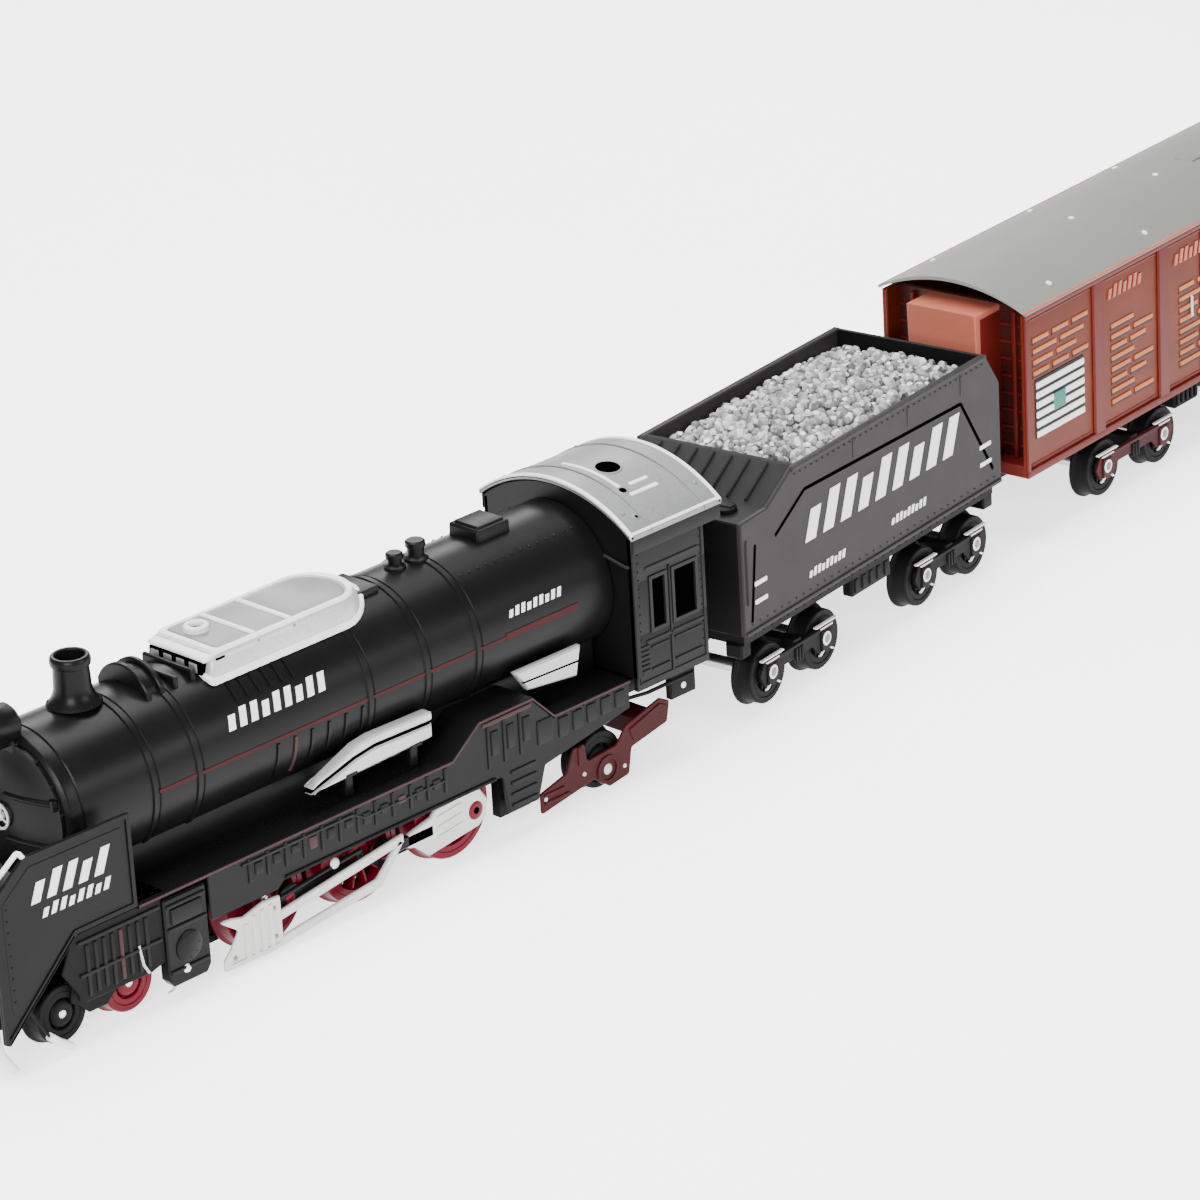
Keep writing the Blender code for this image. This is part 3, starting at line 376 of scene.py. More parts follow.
class Shape:
    """Closed surfaces in one vehicle's millimetres. Each y is measured outwards on the side being drawn."""

    def __init__(self, look="black_plastic", side=1):
        self.look = look
        self.side = side
        self.verts = []
        self.faces = []
        self.face_looks = []

    def both_sides(self):
        """Each side in turn; what is drawn in that turn lands on that side."""
        for side, _ in SIDES:
            self.side = side
            yield side
        self.side = 1

    def placed(self, point):
        x, y, z = point
        return Vector((x, self.side * y, z))

    def loft(self, rings, look=None, loop=False):
        """A skin through rings of equally many placed points, capped at both ends or closed on itself."""
        start = len(self.verts)
        count = len(rings[0])
        last = len(rings) - 1
        self.verts += [Vector(v) for ring in rings for v in ring]
        faces = []
        if not loop:
            faces += [range(count), range((last + 1) * count - 1, last * count - 1, -1)]
        for r in range(len(rings) if loop else last):
            low = r * count
            high = ((r + 1) % len(rings)) * count
            for i in range(count):
                j = (i + 1) % count
                faces.append((low + i, low + j, high + j, high + i))
        self.faces += [tuple(start + i for i in face) for face in faces]
        self.face_looks += [look or self.look] * len(faces)

    def prism(self, outline, span, edge=0.2, look=None, axis="y"):
        """A flat outline drawn out along one axis, its two rims bevelled; only a span in y is mirrored."""
        low, high = sorted(s * self.side for s in span) if axis == "y" else span
        edge = min(edge, (high - low) * 0.4)
        small = inset(outline, edge)
        rings = ((small, low), (outline, low + edge), (outline, high - edge), (small, high))
        self.loft([[PLACE[axis](p, s) for p in ring] for ring, s in rings], look)

    def box(self, x, y, z, edge=0.2, look=None):
        y = sorted(self.side * v for v in y)
        edge = min(edge, (y[1] - y[0]) * 0.4, (z[1] - z[0]) * 0.4)
        self.prism(fillet(rect(y, z), edge, 2), x, edge, look, "x")

    def row(self, count, step, x, y, z, edge=0.2, look=None):
        """Equal boxes, each moved on from the last by step in x, y and z."""
        for k in range(count):
            self.box(*[[v + k * move for v in span] for span, move in zip((x, y, z), step)], edge, look)

    def lathe(self, profile, centre, sides=32, axis="z", look=None, loop=False):
        """A turned solid: profile is (place along the axis, radius)."""
        rings = []
        for along, radius in profile:
            spokes = [PLACE[axis](point, along) for point in around(sides, max(radius, 0.001))]
            rings.append([self.placed(Vector(centre) + Vector(spoke)) for spoke in spokes])
        self.loft(rings, look, loop)

    def tube(self, path, radius, sides=8, bend=1.2, look=None):
        """A round bar along a path with rounded bends."""
        points = fillet([self.placed(p) for p in path], bend, 4, closed=False)
        rings = []
        up = Vector(UP)
        for i, point in enumerate(points):
            ahead = (points[min(i + 1, len(points) - 1)] - points[max(i - 1, 0)]).normalized()
            if abs(ahead.dot(up)) > 0.95:
                up = Vector(OUT)
            across = ahead.cross(up).normalized()
            up = across.cross(ahead).normalized()
            rings.append([point + across * u + up * v for u, v in around(sides, radius)])
        self.loft(rings, look)

    def stud(self, place, radius, height, sides=8, look=None, normal=OUT):
        """A low round head: a rivet, a bolt or a cap."""
        normal = self.placed(normal).normalized()
        across = normal.orthogonal().normalized()
        other = normal.cross(across)
        rings = []
        for lift, share in ((-0.25, 1), (0, 1), (0.55, 0.86), (0.9, 0.5), (1, 0.12)):
            foot = self.placed(place) + normal * (lift * height)
            rings.append([foot + across * u + other * v for u, v in around(sides, radius * share)])
        self.loft(rings, look)

    def studs(self, start, end, count, radius, height, look=None, normal=OUT):
        for k in range(count):
            self.stud(Vector(start).lerp(Vector(end), k / (count - 1)), radius, height, 6, look, normal)

    def bars(self, x, z, y, count, slant, look="white_print", lift=0.14):
        """Slanted bars printed on an upright side."""
        for outline in slanted_bars(x, z, count, slant):
            self.prism(outline, (y - 0.1, y + lift), 0.04, look)

    def border(self, outer, inner, span, look=None):
        """A flat frame between two outlines on an upright side."""
        rings = ((outer, span[0]), (outer, span[1]), (inner, span[1]), (inner, span[0]))
        self.loft([[self.placed((p[0], y, p[1])) for p in ring] for ring, y in rings], look, loop=True)

    def make(self, name, node, vehicle=LOCO):
        """The object, riding on the body that holds a CAD node."""
        mesh = bpy.data.meshes.new(name)
        mesh.from_pydata(self.verts, [], self.faces)
        order = list(dict.fromkeys(self.face_looks))
        for look in order:
            mesh.materials.append(LOOKS[look])
        mesh.polygons.foreach_set("material_index", [order.index(look) for look in self.face_looks])
        shape = bmesh.new()
        shape.from_mesh(mesh)
        bmesh.ops.transform(shape, matrix=vehicle, verts=shape.verts)
        bmesh.ops.recalc_face_normals(shape, faces=shape.faces)
        shape.to_mesh(mesh)
        shape.free()
        mesh.shade_smooth()
        mesh.set_sharp_from_angle(angle=math.radians(38))
        piece = bpy.data.objects.new(name, mesh)
        bpy.context.scene.collection.objects.link(piece)
        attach(piece, BODY_OF[node])
        return piece

    def stand_for(self, node, vehicle=LOCO):
        """The object, in place of one CAD node."""
        piece = self.make(node + "_detailed", node, vehicle)
        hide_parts(node)


# ---------------------------------------------------------------- boiler and its fittings


def boiler_point(x, angle, lift=0):
    """A point on the boiler, its angle measured from the top outwards."""
    radius = BOILER_RADIUS + lift
    return Vector((x, radius * math.sin(angle), BOILER_AXIS_Z + radius * math.cos(angle)))


def boiler_angle(z):
    return math.acos(max(-1, min(1, (z - BOILER_AXIS_Z) / BOILER_RADIUS)))


def wrapped(shape, corners, lift, look=None):
    """A patch laid round the boiler's side: corners are (x, z)."""
    sink = 0.3
    shape.loft([[shape.placed(boiler_point(x, boiler_angle(z), height)) for x, z in corners]
                for height in (-sink, lift)], look)


def boiler_shell(shape):
    """The shell, open along its underside, with raised bands, seams, fittings and printed lines."""
    sweep = math.pi - math.asin(OPEN_HALF / BOILER_RADIUS)
    band = ((-0.75, 0), (-0.55, 0.35), (0.55, 0.35), (0.75, 0), (1, -0.25), (1.3, -0.25), (1.5, 0))
    stations = [(BOILER_X[0], -0.3), (BOILER_X[0] + 0.3, 0)]
    stations += [(x + along, lift) for x in BOILER_BANDS for along, lift in band]
    stations.append((BOILER_X[1], 0))
    steps = 72
    angles = [sweep * (2 * k / steps - 1) for k in range(steps + 1)]
    shape.loft([[boiler_point(x, angle, lift) for angle in angles] +
                [boiler_point(x, angle, -SHELL_WALL) for angle in angles[::-1]] for x, lift in stations])
    for _ in shape.both_sides():
        wrapped(shape, rect((53, 169), (42.2, 42.9)), 0.12, "pinstripe")
        for x, z, slant in (((72.7, 100.9), (48, 51.4), 1.2), ((149.6, 166), (46.3, 48.1), 0.7)):
            for outline in slanted_bars(x, z, 9, slant, 0.58, 0.8):
                wrapped(shape, outline, 0.14, "white_print")
        wrapped(shape, rect((148, 169), (41.9, 43.4)), 0.16, "pinstripe")
        for k in range(6):
            wrapped(shape, rect((77 + 3 * k, 77.7 + 3 * k), (52.4, 56)), 0.5)
            for low in [33.4 + 1.15 * step for step in range(7)]:
                wrapped(shape, rect((84 + 4.6 * k, 84.7 + 4.6 * k), (low, low + 1.2)), 0.3,
                        "edge_line" if k == 1 else None)
        rivet = boiler_point(0, boiler_angle(56.2))
        for k in range(14):
            shape.stud(rivet + Vector((143 + 2.5 * k, 0, 0)), 0.42, 0.3, 6,
                       normal=rivet - Vector((0, 0, BOILER_AXIS_Z)))
        # The second outline is a thin near-black line of painted shade in the joint between the silver plate's two
        # strips.
        for outline, span, edge, look in (
            ([(148.9, 34.4), (168.3, 34.2), (166.8, 27.7), (152.4, 29.4)], (15.6, 17.4), 0.4, "silver_paint"),
            ([(150.6, 31.8), (167.8, 31.2), (167.7, 30.8), (151, 31.4)], (17.2, 17.5), 0.04, "painted_shade_black"),
        ):
            shape.prism(outline, span, edge, look)
    boiler_fittings(shape)


def boiler_fittings(shape):
    """The hooded feed-water heater, the safety valves, the hatch and the panels on top of the boiler."""
    for half, eave, rise, span, edge in ((7.6, 58.4, 4.6, (59.4, 60.8), 0.3), (6.6, 58, 4, (60.4, 63.4), 0.3),
                                         (7.6, 58.4, 4.6, (63, 64.2), 0.25)):
        shape.prism([(-half, 54), *arch(half, eave, rise, 12)[::-1], (half, 54)], span, edge, axis="x")
    for x, radius, top in ((133.5, 1.5, 62.4), (139.5, 1.8, 63.2)):
        shape.lathe([(57.6, radius + 0.9), (59.4, radius + 0.8), (59.9, radius), (top - 1.5, radius),
                     (top - 1.3, radius + 0.35), (top - 0.3, radius + 0.35), (top, radius)], (x, 0, 0), 24)
    shape.box((153.5, 163), (-4, 5), (57, 61.2), 0.5)
    shape.box((154.4, 162.1), (-3.1, 4.1), (60.8, 61.7), 0.3)
    shape.box((117.5, 124), (-5.4, 5.4), (57.6, 59.7), 0.4)
    shape.row(2, (4.5, 0, 0), (66.5, 67.7), (-7.5, 7.5), (56.6, 59.6), 0.3)


def smokebox_door(shape):
    """The round door with its strap hinges, wheel and dogs, and the headlamp on its bracket."""
    middle = (0, 0, BOILER_AXIS_Z)
    shape.lathe([(26.8, 1), (26.9, 2.6), (27.5, 7), (28.7, 11), (29.7, 13.4), (29.9, 14.4), (30.6, 14.6),
                 (30.4, 15.4), (31, 16.2), (31.4, 16.4), (33.7, 16.4)], middle, 72, "x")
    for y, z in around(16, 15, 0.5):
        shape.stud((30.2, y, BOILER_AXIS_Z + z), 0.5, 0.6, 6, normal=(-1, 0, 0))
    for z in (-4.6, 4.6):
        shape.tube([(26.8 + 0.0155 * (y * y + z * z), y, BOILER_AXIS_Z + z)
                    for y in (-12.6, -9.7, -6.8, -3.9, -1)], 0.6, 10, 0.6)
        shape.lathe([(-1.1, 0.9), (1.1, 0.9)], (29.7, -12.8, BOILER_AXIS_Z + z), 12)
    shape.lathe([(25.9, 0.6), (26.2, 1), (26.9, 1)], middle, 16, "x", "rod_silver")
    shape.lathe([(26.2 + u, 2.6 + v) for u, v in around(6, 0.3)], middle, 32, "x", "rod_silver", loop=True)
    for k in range(4):
        angle = math.pi * k / 2 + 0.4
        rim = (26.2, 2.6 * math.cos(angle), BOILER_AXIS_Z + 2.6 * math.sin(angle))
        shape.tube([(26.2, 0, BOILER_AXIS_Z), rim], 0.22, 6, look="rod_silver")
    lamp = [(24.1, 3.2), (24, 3.6), (24.2, 4.2), (25, 4.3), (25.4, 4), (30.6, 4), (31.4, 3.2), (31.5, 0.5),
            (26.6, 0.5), (26.5, 3.1)]
    shape.lathe(lamp, (0, 0, LAMP_Z), 40, "x", loop=True)
    shape.box((29.4, 33), (-2.4, 2.4), (54, 58), 0.4)
    shape.box((26, 31), (-1.2, 1.2), (56.4, 57.6), 0.3)


def headlamp_lens(shape):
    shape.lathe([(24.05, 0.4), (24.2, 1.4), (24.55, 2.3), (25.1, 2.9), (25.6, 2.95), (26.1, 2.95)],
                (0, 0, LAMP_Z), 48, "x")


def chimney(shape):
    """The chimney: a flared foot, a straight stack, a rolled rim and a deep bore."""
    foot = BOILER_AXIS_Z + BOILER_RADIUS + 0.3
    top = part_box("chimney")[1].z / MM
    flare = [(foot + 5 * t, 3.75 + 1.9 * (1 - t) ** 3) for t in (0, 0.1, 0.25, 0.45, 0.7, 1)]
    rim = [(-2.3, 3.6), (-2, 4), (-1.2, 4.15), (-0.3, 4), (0, 3.7), (0, 3.2), (-0.3, 2.9), (-7, 2.6)]
    shape.lathe([(foot - 0.1, 5.4), *flare, *shift(rim, top)], (CHIMNEY_X, 0, 0), 56)
    for x, y in around(8, 5.1):
        shape.stud((CHIMNEY_X + x, y, foot + 0.35), 0.35, 0.35, 6, normal=UP)


def dome_outline(shrink):
    """The cover's plan, shrunk on its way up: square in front, round behind."""
    half = DOME_HALF - shrink * 0.55
    front = DOME_X[0] + shrink
    centre = DOME_X[1] - DOME_HALF
    reach = DOME_HALF - shrink
    square = [(centre, -half), (front, -half), (front, half), (centre, half)]
    points = fillet(square, 1.4, 4, closed=False)[1:-1]
    steps = 16
    for k in range(steps + 1):
        angle = math.pi / 2 - math.pi * k / steps
        points.append(Vector((centre + reach * math.cos(angle), half * math.sin(angle))))
    return points


def on_boiler(shrink, lift):
    """The cover's outline laid on the boiler's curved top."""
    radius = BOILER_RADIUS + lift
    return [(p.x, p.y, BOILER_AXIS_Z + math.sqrt(radius ** 2 - p.y ** 2)) for p in dome_outline(shrink)]


def dome_ring(shrink, z):
    return [(p.x, p.y, z) for p in dome_outline(shrink)]


def dome_cover(shape):
    """The silver cover astride the boiler: a flange, steep walls, white ribs round three sunk grey panels."""
    shape.loft([on_boiler(-0.1, 0.35), on_boiler(-0.1, 1), on_boiler(0.5, 1.3)])
    walls = ((0.7, 57.9), (1.3, 60.2), (2, 61.2), (3, DOME_TOP))
    shape.loft([on_boiler(0.6, 0.7)] + [dome_ring(*ring) for ring in walls], "silver_paint")
    rim = ((2.5, 61.5), (2.7, 62.2), (3.6, 62.35), (4.2, 62.1), (4.2, 61.5))
    shape.loft([dome_ring(*ring) for ring in rim], loop=True)
    joints = (87, 96.6)
    for x in joints:
        shape.box((x, x + 1.3), (-7.9, 7.9), (61.5, 62.35), 0.25)
    for x in ((78.3, joints[0]), (joints[0] + 1.3, joints[1])):
        shape.box(x, (-7.6, 7.6), (61.6, 61.95), 0.1, "panel_grey")
    after = joints[1] + 1
    shape.loft([[(max(x, after), y, z) for x, y, z in dome_ring(4.4, 61.7)],
                [(max(x, after + 0.4), y * 0.95, z) for x, y, z in dome_ring(5, 62)]], "panel_grey")
    filler = [(61.8, 2.7), (62.9, 2.6), (63.2, 2.3), (63.2, 1.7), (62.9, 1.5), (61.8, 1.5)]
    shape.lathe(filler, (82, 3, 0), 32, loop=True)
    # The near-black disc inside the filler is painted shade in its opening.
    shape.lathe([(61.7, 1.55), (62.15, 1.5)], (82, 3, 0), 24, look="painted_shade_black")
    # The near-black block behind the grille bars is painted shade.
    shape.box((73.2, 75.6), (-7.8, 7.8), (57.6, 60.4), 0.3, "painted_shade_black")
    for y in (-5.6, -1.8, 2, 5.8):
        shape.box((72.9, 73.6), about(y, 1.2), (58, 60), 0.25, "panel_grey")
    shape.box((73.5, 77), (-8.4, 8.4), (60.3, 61.4), 0.35)
    for _ in shape.both_sides():
        for x in joints:
            shape.stud((x + 0.6, 9, 60.9), 0.55, 0.25, look="panel_grey", normal=(0, 1, 0.9))
        # A near-black slot of painted shade.
        shape.box((76, 78.6), (8.9, 9.4), (60, 60.9), 0.2, "painted_shade_black")


def air_tank(shape):
    """A silver tank beside the boiler, pointed in front, in two strips with a near-black line of painted shade
    between them.
    """
    upper = [(88.6, 29.2), (96.5, 32.4), (103, 34.9), (107.4, 35.5), (124, 35.1), (124, 33.2), (108, 33.6),
             (102, 32.8)]
    lower = [(88.2, 28.3), (102.6, 32.3), (108, 33), (124, 32.6), (124, 29.3)]
    for outline, edge in ((upper, 0.35), (lower, 0.6)):
        shape.prism(fillet(outline, 0.5, 2), (15.7, 18.6), edge, "silver_paint")
    # The near-black strip behind the gap between the silver strips is painted shade.
    shape.prism([(90, 29), (103, 33), (123.6, 33.6), (123.6, 32), (103, 32)], (16, 18.2), 0.1, "painted_shade_black")
    shape.row(2, (18, 0, 0), (100, 102), (16.2, 17.8), (BOARD_TOP + 0.3, 30.2))
    shape.row(2, (18, 0, 0), (99.4, 102.6), (15.9, 18.75), (29, 29.7), 0.15)


# ---------------------------------------------------------------- running board and its neighbours


def running_board(shape):
    """The footplate: a chequered deck, a stepped stretch, an edge line, and a valance on each side."""
    top = [(41.2, BOARD_TOP), (126, BOARD_TOP), (134, PLATFORM_Z), (149.5, PLATFORM_Z), (155.5, 24),
           (178, 24)]
    under = shift(top, 0.4, -BOARD_THICK)
    under[0] = (41.2, BOARD_TOP - BOARD_THICK)
    under[-1] = (178, 24 - BOARD_THICK)
    shape.box((8.4, 48.6), (-20.4, 20.4), (BOARD_TOP - BOARD_THICK, BOARD_TOP), 0.15)
    for _ in shape.both_sides():
        shape.prism(top + under[::-1], (10.7, BOARD_HALF), 0.15)
        shape.prism(shift(top, 0, -0.12) + shift(top[::-1], 0, -0.62), (BOARD_HALF - 0.3, BOARD_HALF + 0.12),
                    0.05, "edge_line")
        shape.box((48, 178), (10, 11), (BOARD_TOP - BOARD_THICK, 31.2))
        chequer = (BOARD_TOP - 0.05, BOARD_TOP + 0.12)
        for k in range(44):
            for row in range(3):
                y = 12.8 + 2.9 * row + (0.9 if k % 2 else 0)
                shape.box((44 + 1.85 * k, 44.9 + 1.85 * k), about(y, 0.16), chequer, 0.05)
        valance(shape)
    shape.row(2, (128.6, 0, 0), (48.4, 49.4), (-10.4, 10.4), (BOARD_TOP - BOARD_THICK, 29))


def valance(shape):
    """One side's skirt: its plate, the stair below the step, pipes, brackets, boxes and rivets."""
    plate = [(59.2, 23.4), (59.2, 13.6), (77, 13.6), (79, 15.2), (140, 15.2), (141.4, 6.5), (150, 6.5),
             (152.4, 13.5), (178, 17.5), (178, 23.2), (155.6, 23.2), (149.6, 29.3), (134.4, 29.3),
             (126.4, 23.4)]
    shape.prism(fillet(plate, 0.4, 2), (20.3, 21.2))
    apron = [(24.6, 23.6), (21.4, 16.4), (24.2, 12.2), (26.6, 8.6), (43.6, 8.4), (47.2, 9.4), (47.2, 23.6)]
    shape.prism(fillet(apron, 0.5, 2), (20.2, 20.8), look="frame_black")
    for k in range(8):
        shape.box((27.4 + 2.15 * k, 28.3 + 2.15 * k), (20.6, 21.1), (9.6 + 0.3 * (k % 3), 20.6), 0.15,
                  "edge_line" if k == 4 else None)
    shape.row(2, (0, 0, 7), (25.6, 46.6), (20.6, 21.2), (14.2, 14.9), 0.15)
    shape.tube([(40.6, 20.9, 15.4), (41.2, 21.2, 11), (42.6, 20.9, 8.8)], 0.3, 8, 1, "rod_silver")
    face = (21, 21.5)
    shape.box((79, 138), (21, 21.6), (15.3, 16), 0.15, "frame_black")
    shape.row(12, (4.9, 0, 0), (69.5, 70.3), face, (17.8, 23.2), 0.15)
    for k in range(11):
        shape.box((71.3 + 4.9 * k, 73.5 + 4.9 * k), face, (19 + 0.5 * (k % 3), 21.6),
                  look="edge_line" if k in (3, 8) else None)
    shape.tube([(68, 21.2, 22.4), (98, 21.2, 22.4), (101, 21.2, 20.6), (124, 21.2, 20.6)], 0.38)
    shape.box((135, 149), face, (28, 28.9), 0.15, "edge_line")
    shape.row(3, (4.6, 0, 0), (136, 136.8), face, (18.4, 28), 0.15)
    shape.row(3, (4.6, 0, 0), (137.2, 139.4), face, (21, 26.4), 0.25)
    shape.box((150.4, 155), face, (18.6, 24), 0.25)
    for k in range(5):
        shape.box((156.6 + 4.2 * k, 159.6 + 4.2 * k), face, (18.2 + 0.2 * k, 22.6), 0.25)
    shape.studs((157, 21.2, 23), (177, 21.2, 23), 12, 0.28, 0.25)
    shape.row(4, (0, 0, 2.5), (142.2, 149.6), face, (7.6, 8.3), 0.15)


def deflector(shape):
    """A smoke deflector: a bordered plate with slanted bars, its skirt, and a handrail off its top corner."""
    outline = [(14.4, 44.5), (40.7, 44.2), (40.7, BOARD_TOP), (25.1, BOARD_TOP), (6.6, 7.4), (5.5, 8),
               (5.5, 37.8)]
    shape.prism(fillet(outline, 0.6), (20.8, 21.5))
    shape.border(inset(outline, 0.1), inset(outline, 1), (21.3, 21.8))
    field = [(15.2, 42.2), (38.6, 42), (38.6, 26), (25.6, 26), (8, 13), (8, 36.6)]
    shape.prism(fillet(field, 0.5, 2), (21.2, 21.62), 0.15)
    shape.prism([(25.1, 24.1), (24.2, 24.1), (6.9, 8.4), (6.7, 7.5)], (21.3, 21.8), 0.06, "edge_line")
    shape.bars((15, 37), (34.2, 39.6), 21.62, 5, 2.2)
    shape.bars((17.4, 35.8), (30.6, 33), 21.62, 8, 0.9)
    shape.studs((9, 21.62, 16), (9, 21.62, 35.4), 9, 0.26, 0.22)
    shape.tube([(14.6, 21.2, 44), (14, 20.352, 45.4), (4.4, 19.08, 37.4), (4.6, 20.564, 35.4)], 0.55, 10,
               look="white_print")


def cylinder(shape):
    """A cylinder casting with cladding ribs, cover bolts, drain cocks and a white bolt."""
    outline = [(47.2, 5), (48.4, 3.4), (57, 3.4), (58.2, 5), (58.2, 22.6), (47.2, 22.6)]
    shape.prism(fillet(outline, 0.7), (18.6, 21.5), 0.35)
    face = (21.3, 21.9)
    for z in (6.4, 15.6, 20.6):
        shape.box((47.6, 57.8), face, (z, z + 0.7))
    shape.box((48.6, 56.8), face, (16.8, 20.2), 0.35)
    x, z = CYLINDER_AT
    cover = [(21, 3.3), (22, 3.3), (22, 2.7)] if shape.side > 0 else [(21, 3.3), (21.7, 3.3), (22, 2.8)]
    shape.lathe(cover, (x, 0, z), 36, "y")
    for along, rise in around(8, 2.4):
        shape.stud((x + along, 21.85, z + rise), 0.3, 0.22, 6)
    shape.stud((51.7, 21.45, 6.4), 0.95, 0.6, 16, "white_print")
    shape.tube([(49.2, 20, 3.6), (49.2, 20, 2.2), (47.6, 20, 2)], 0.3, 6, 0.5, "rod_silver")


def crosshead(shape):
    """The white crosshead plate with its slots, and the slide bars that run back to the big end."""
    plate = [(61, 12.3), (66.1, 8.7), (63.7, 5.4), (61.8, 3.5), (61.7, 1.2), (75.2, 0.9), (77.4, 1.6),
             (77.4, 12.3), (72.8, 12.5), (67.5, 11.2), (64.5, 12)]
    shape.prism(fillet(plate, 0.5, 2), (20.3, 21.2), 0.25)
    for x, low, high in ((67.2, 2, 9.6), (69.4, 2, 10.8), (71.6, 1.9, 11.2), (73.8, 2, 11.4)):
        shape.box((x, x + 1.3), (21, 21.5), (low, high))
    shape.box((63.4, 76.6), (21, 21.5), (1.5, 2.4))
    for look, outline in (
        (None, [(77, 6.8), (77, 8.9), (111.4, 13.2), (111.4, 11)]),
        (None, [(77, 1.2), (77, 3.3), (103.4, 5.9), (110, 12.2), (111.4, 11.4), (104.6, 3.8)]),
        ("black_plastic", [(77, 12), (90.5, 13.4), (100, 14.2), (100, 13.3), (90.5, 12.5), (77, 11.2)]),
    ):
        shape.prism(fillet(outline, 0.4, 2), (20.4, 21.3), 0.25, look)
    shape.stud((92.4, 21.1, 13.6), 1.2, 0.5, 16)
    for x, z in ((75.4, 10.2), (75.4, 4), (64.4, 3.4)):
        shape.stud((x, 21.3, z), 0.5, 0.3, look="panel_grey")


def coupling_rod(shape):
    """The coupling rod: a dark fluted bar over two pins, and the white big end with its red pin cap."""
    pins = [x + PIN_DX for x in DRIVER_X]
    last = pins[2]
    span = (18.6, 19.7)
    shape.prism(rect((pins[0], last - 12), about(PIN_Z, 1.3)), span, 0.25, "black_plastic")
    near, far = (18.6, 19.8)[::shape.side]
    for x in pins[:2]:
        cover = [(near, 3), (far - 0.3 * shape.side, 3), (far, 2.7)]
        shape.lathe(cover, (x, 0, PIN_Z), 28, "y", "black_plastic")
        shape.stud((x, 19.7, PIN_Z), 1.4, 0.35, 16, "red_plastic")
    plate = [(-19.4, 1.4), (-12.4, 2.9), (-11.2, 4.3), (-1, 4.8), (1.6, 4.4), (3.6, 1.4), (3.2, -2.2),
             (0.8, -3.8), (-13.4, -5.4), (-17.4, -2), (-19.4, -1.6)]
    shape.prism(fillet(shift(plate, last, PIN_Z), 1), span, 0.3)
    for drop in (0, -2.2, -4.4):
        rib = [(-11, 2.6), (-4, 3.4), (-4, 2.4), (-11, 1.7)]
        shape.prism(shift(rib, last, PIN_Z + drop), (19.5, 19.9), 0.12)
    shape.stud((last, 19.5, PIN_Z), 2.3, 0.45, 24, "red_plastic")
    # The near-black dot in the middle of the big end is painted shade in its recess.
    shape.stud((last, 19.8, PIN_Z), 0.9, 0.25, 16, "painted_shade_black")


# ---------------------------------------------------------------- cab


def cab_body(shape):
    """The cab: front and side walls with window openings and their frames, the openings filled with near-black
    panes of painted shade, a floor and a backhead.
    """
    foot = CAB_FLOOR_Z + 3
    wall_top = shift(arch(CAB_HALF, EAVE_Z, ROOF_RISE, 20), 0, -0.3)
    shape.prism([(-CAB_HALF, foot), *wall_top[::-1], (CAB_HALF, foot)], (CAB_X[0], CAB_X[0] + 1.5), axis="x")
    shape.box((CAB_X[0] + 0.5, CAB_X[1]), about(0, CAB_HALF - 0.5), (foot - 0.4, foot + 1))
    for _ in shape.both_sides():
        cab_side(shape)
        shape.tube([(180.4, 12.6, 50.4), (179.4, 12.6, 50.4), (179.4, 21, 48.8), (180.4, 21, 48.8)], 0.35, 8,
                   0.4, "cab_frame")
    shape.box((181.3, 186.5), (-11, 11), (24.2, 49), 0.6)
    shape.stud((186.4, 0, 33), 3.4, 0.6, 24, normal=(1, 0, 0))
    for y in (-6, -2, 2, 6):
        shape.stud((186.4, y, 44), 1.3, 0.5, 16, "rod_silver", (1, 0, 0))
        shape.tube([(186.3, y, 39), (187.6, y, 39), (187.8, y, 37.2)], 0.3, 6, 0.5, "rod_silver")


def cab_side(shape):
    """One side wall, built round its two windows."""
    wall = (CAB_HALF - 1.4, CAB_HALF - 0.25)
    windows = ((185.3, 189.7), (192, 199))
    sill, head = WINDOW_Z
    shape.box(CAB_X, wall, (CAB_FLOOR_Z, sill), 0.15)
    shape.box(CAB_X, wall, (head, EAVE_Z - 0.3), 0.15)
    edges = [CAB_X[0], *windows[0], *windows[1], CAB_X[1]]
    for x in zip(edges[::2], edges[1::2]):
        shape.box(x, wall, (sill - 0.3, head + 0.3), 0.15)
    face = (CAB_HALF - 0.5, CAB_HALF)
    for left, right in windows:
        outer, inner = [rect((left - grow, right + grow), (sill - grow, head + grow)) for grow in (0.5, -0.3)]
        shape.border(outer, inner, face, "cab_frame")
        # Each pane is a near-black sheet of painted shade, standing for the dark inside of the cab.
        pane = (CAB_HALF - 1.25, CAB_HALF - 1.05)
        shape.box((left - 0.2, right + 0.2), pane, (sill - 0.2, head + 0.2), 0.02, "painted_shade_black")
    shape.box((183.2, 200.8), face, (30.4, 31.2), 0.15)
    shape.box((184, 200), face, (46.8, 47.6), 0.15, "cab_frame")
    shape.row(6, (0, 0, 1.1), (181.2, 184), face, (24.2, 24.7), 0.1)
    shape.box((190.6, 191.2), face, (22, 46), 0.1)
    line = (CAB_HALF - 0.4, CAB_HALF - 0.08)
    for x in (181, 201):
        shape.box(about(x, 0.18), line, (21.82, 53.98), 0.08)
    for z in (22, 53.8):
        shape.box((180.82, 201.18), line, about(z, 0.18), 0.08)
    for x in (181.8, 200.6):
        shape.studs((x, CAB_HALF - 0.28, 24), (x, CAB_HALF - 0.28, 53), 16, 0.26, 0.22)
    for x in ((184.6, 190), (191.8, 200)):
        shape.row(2, (0, 0, 5), x, face, (24, 24.5), 0.1)


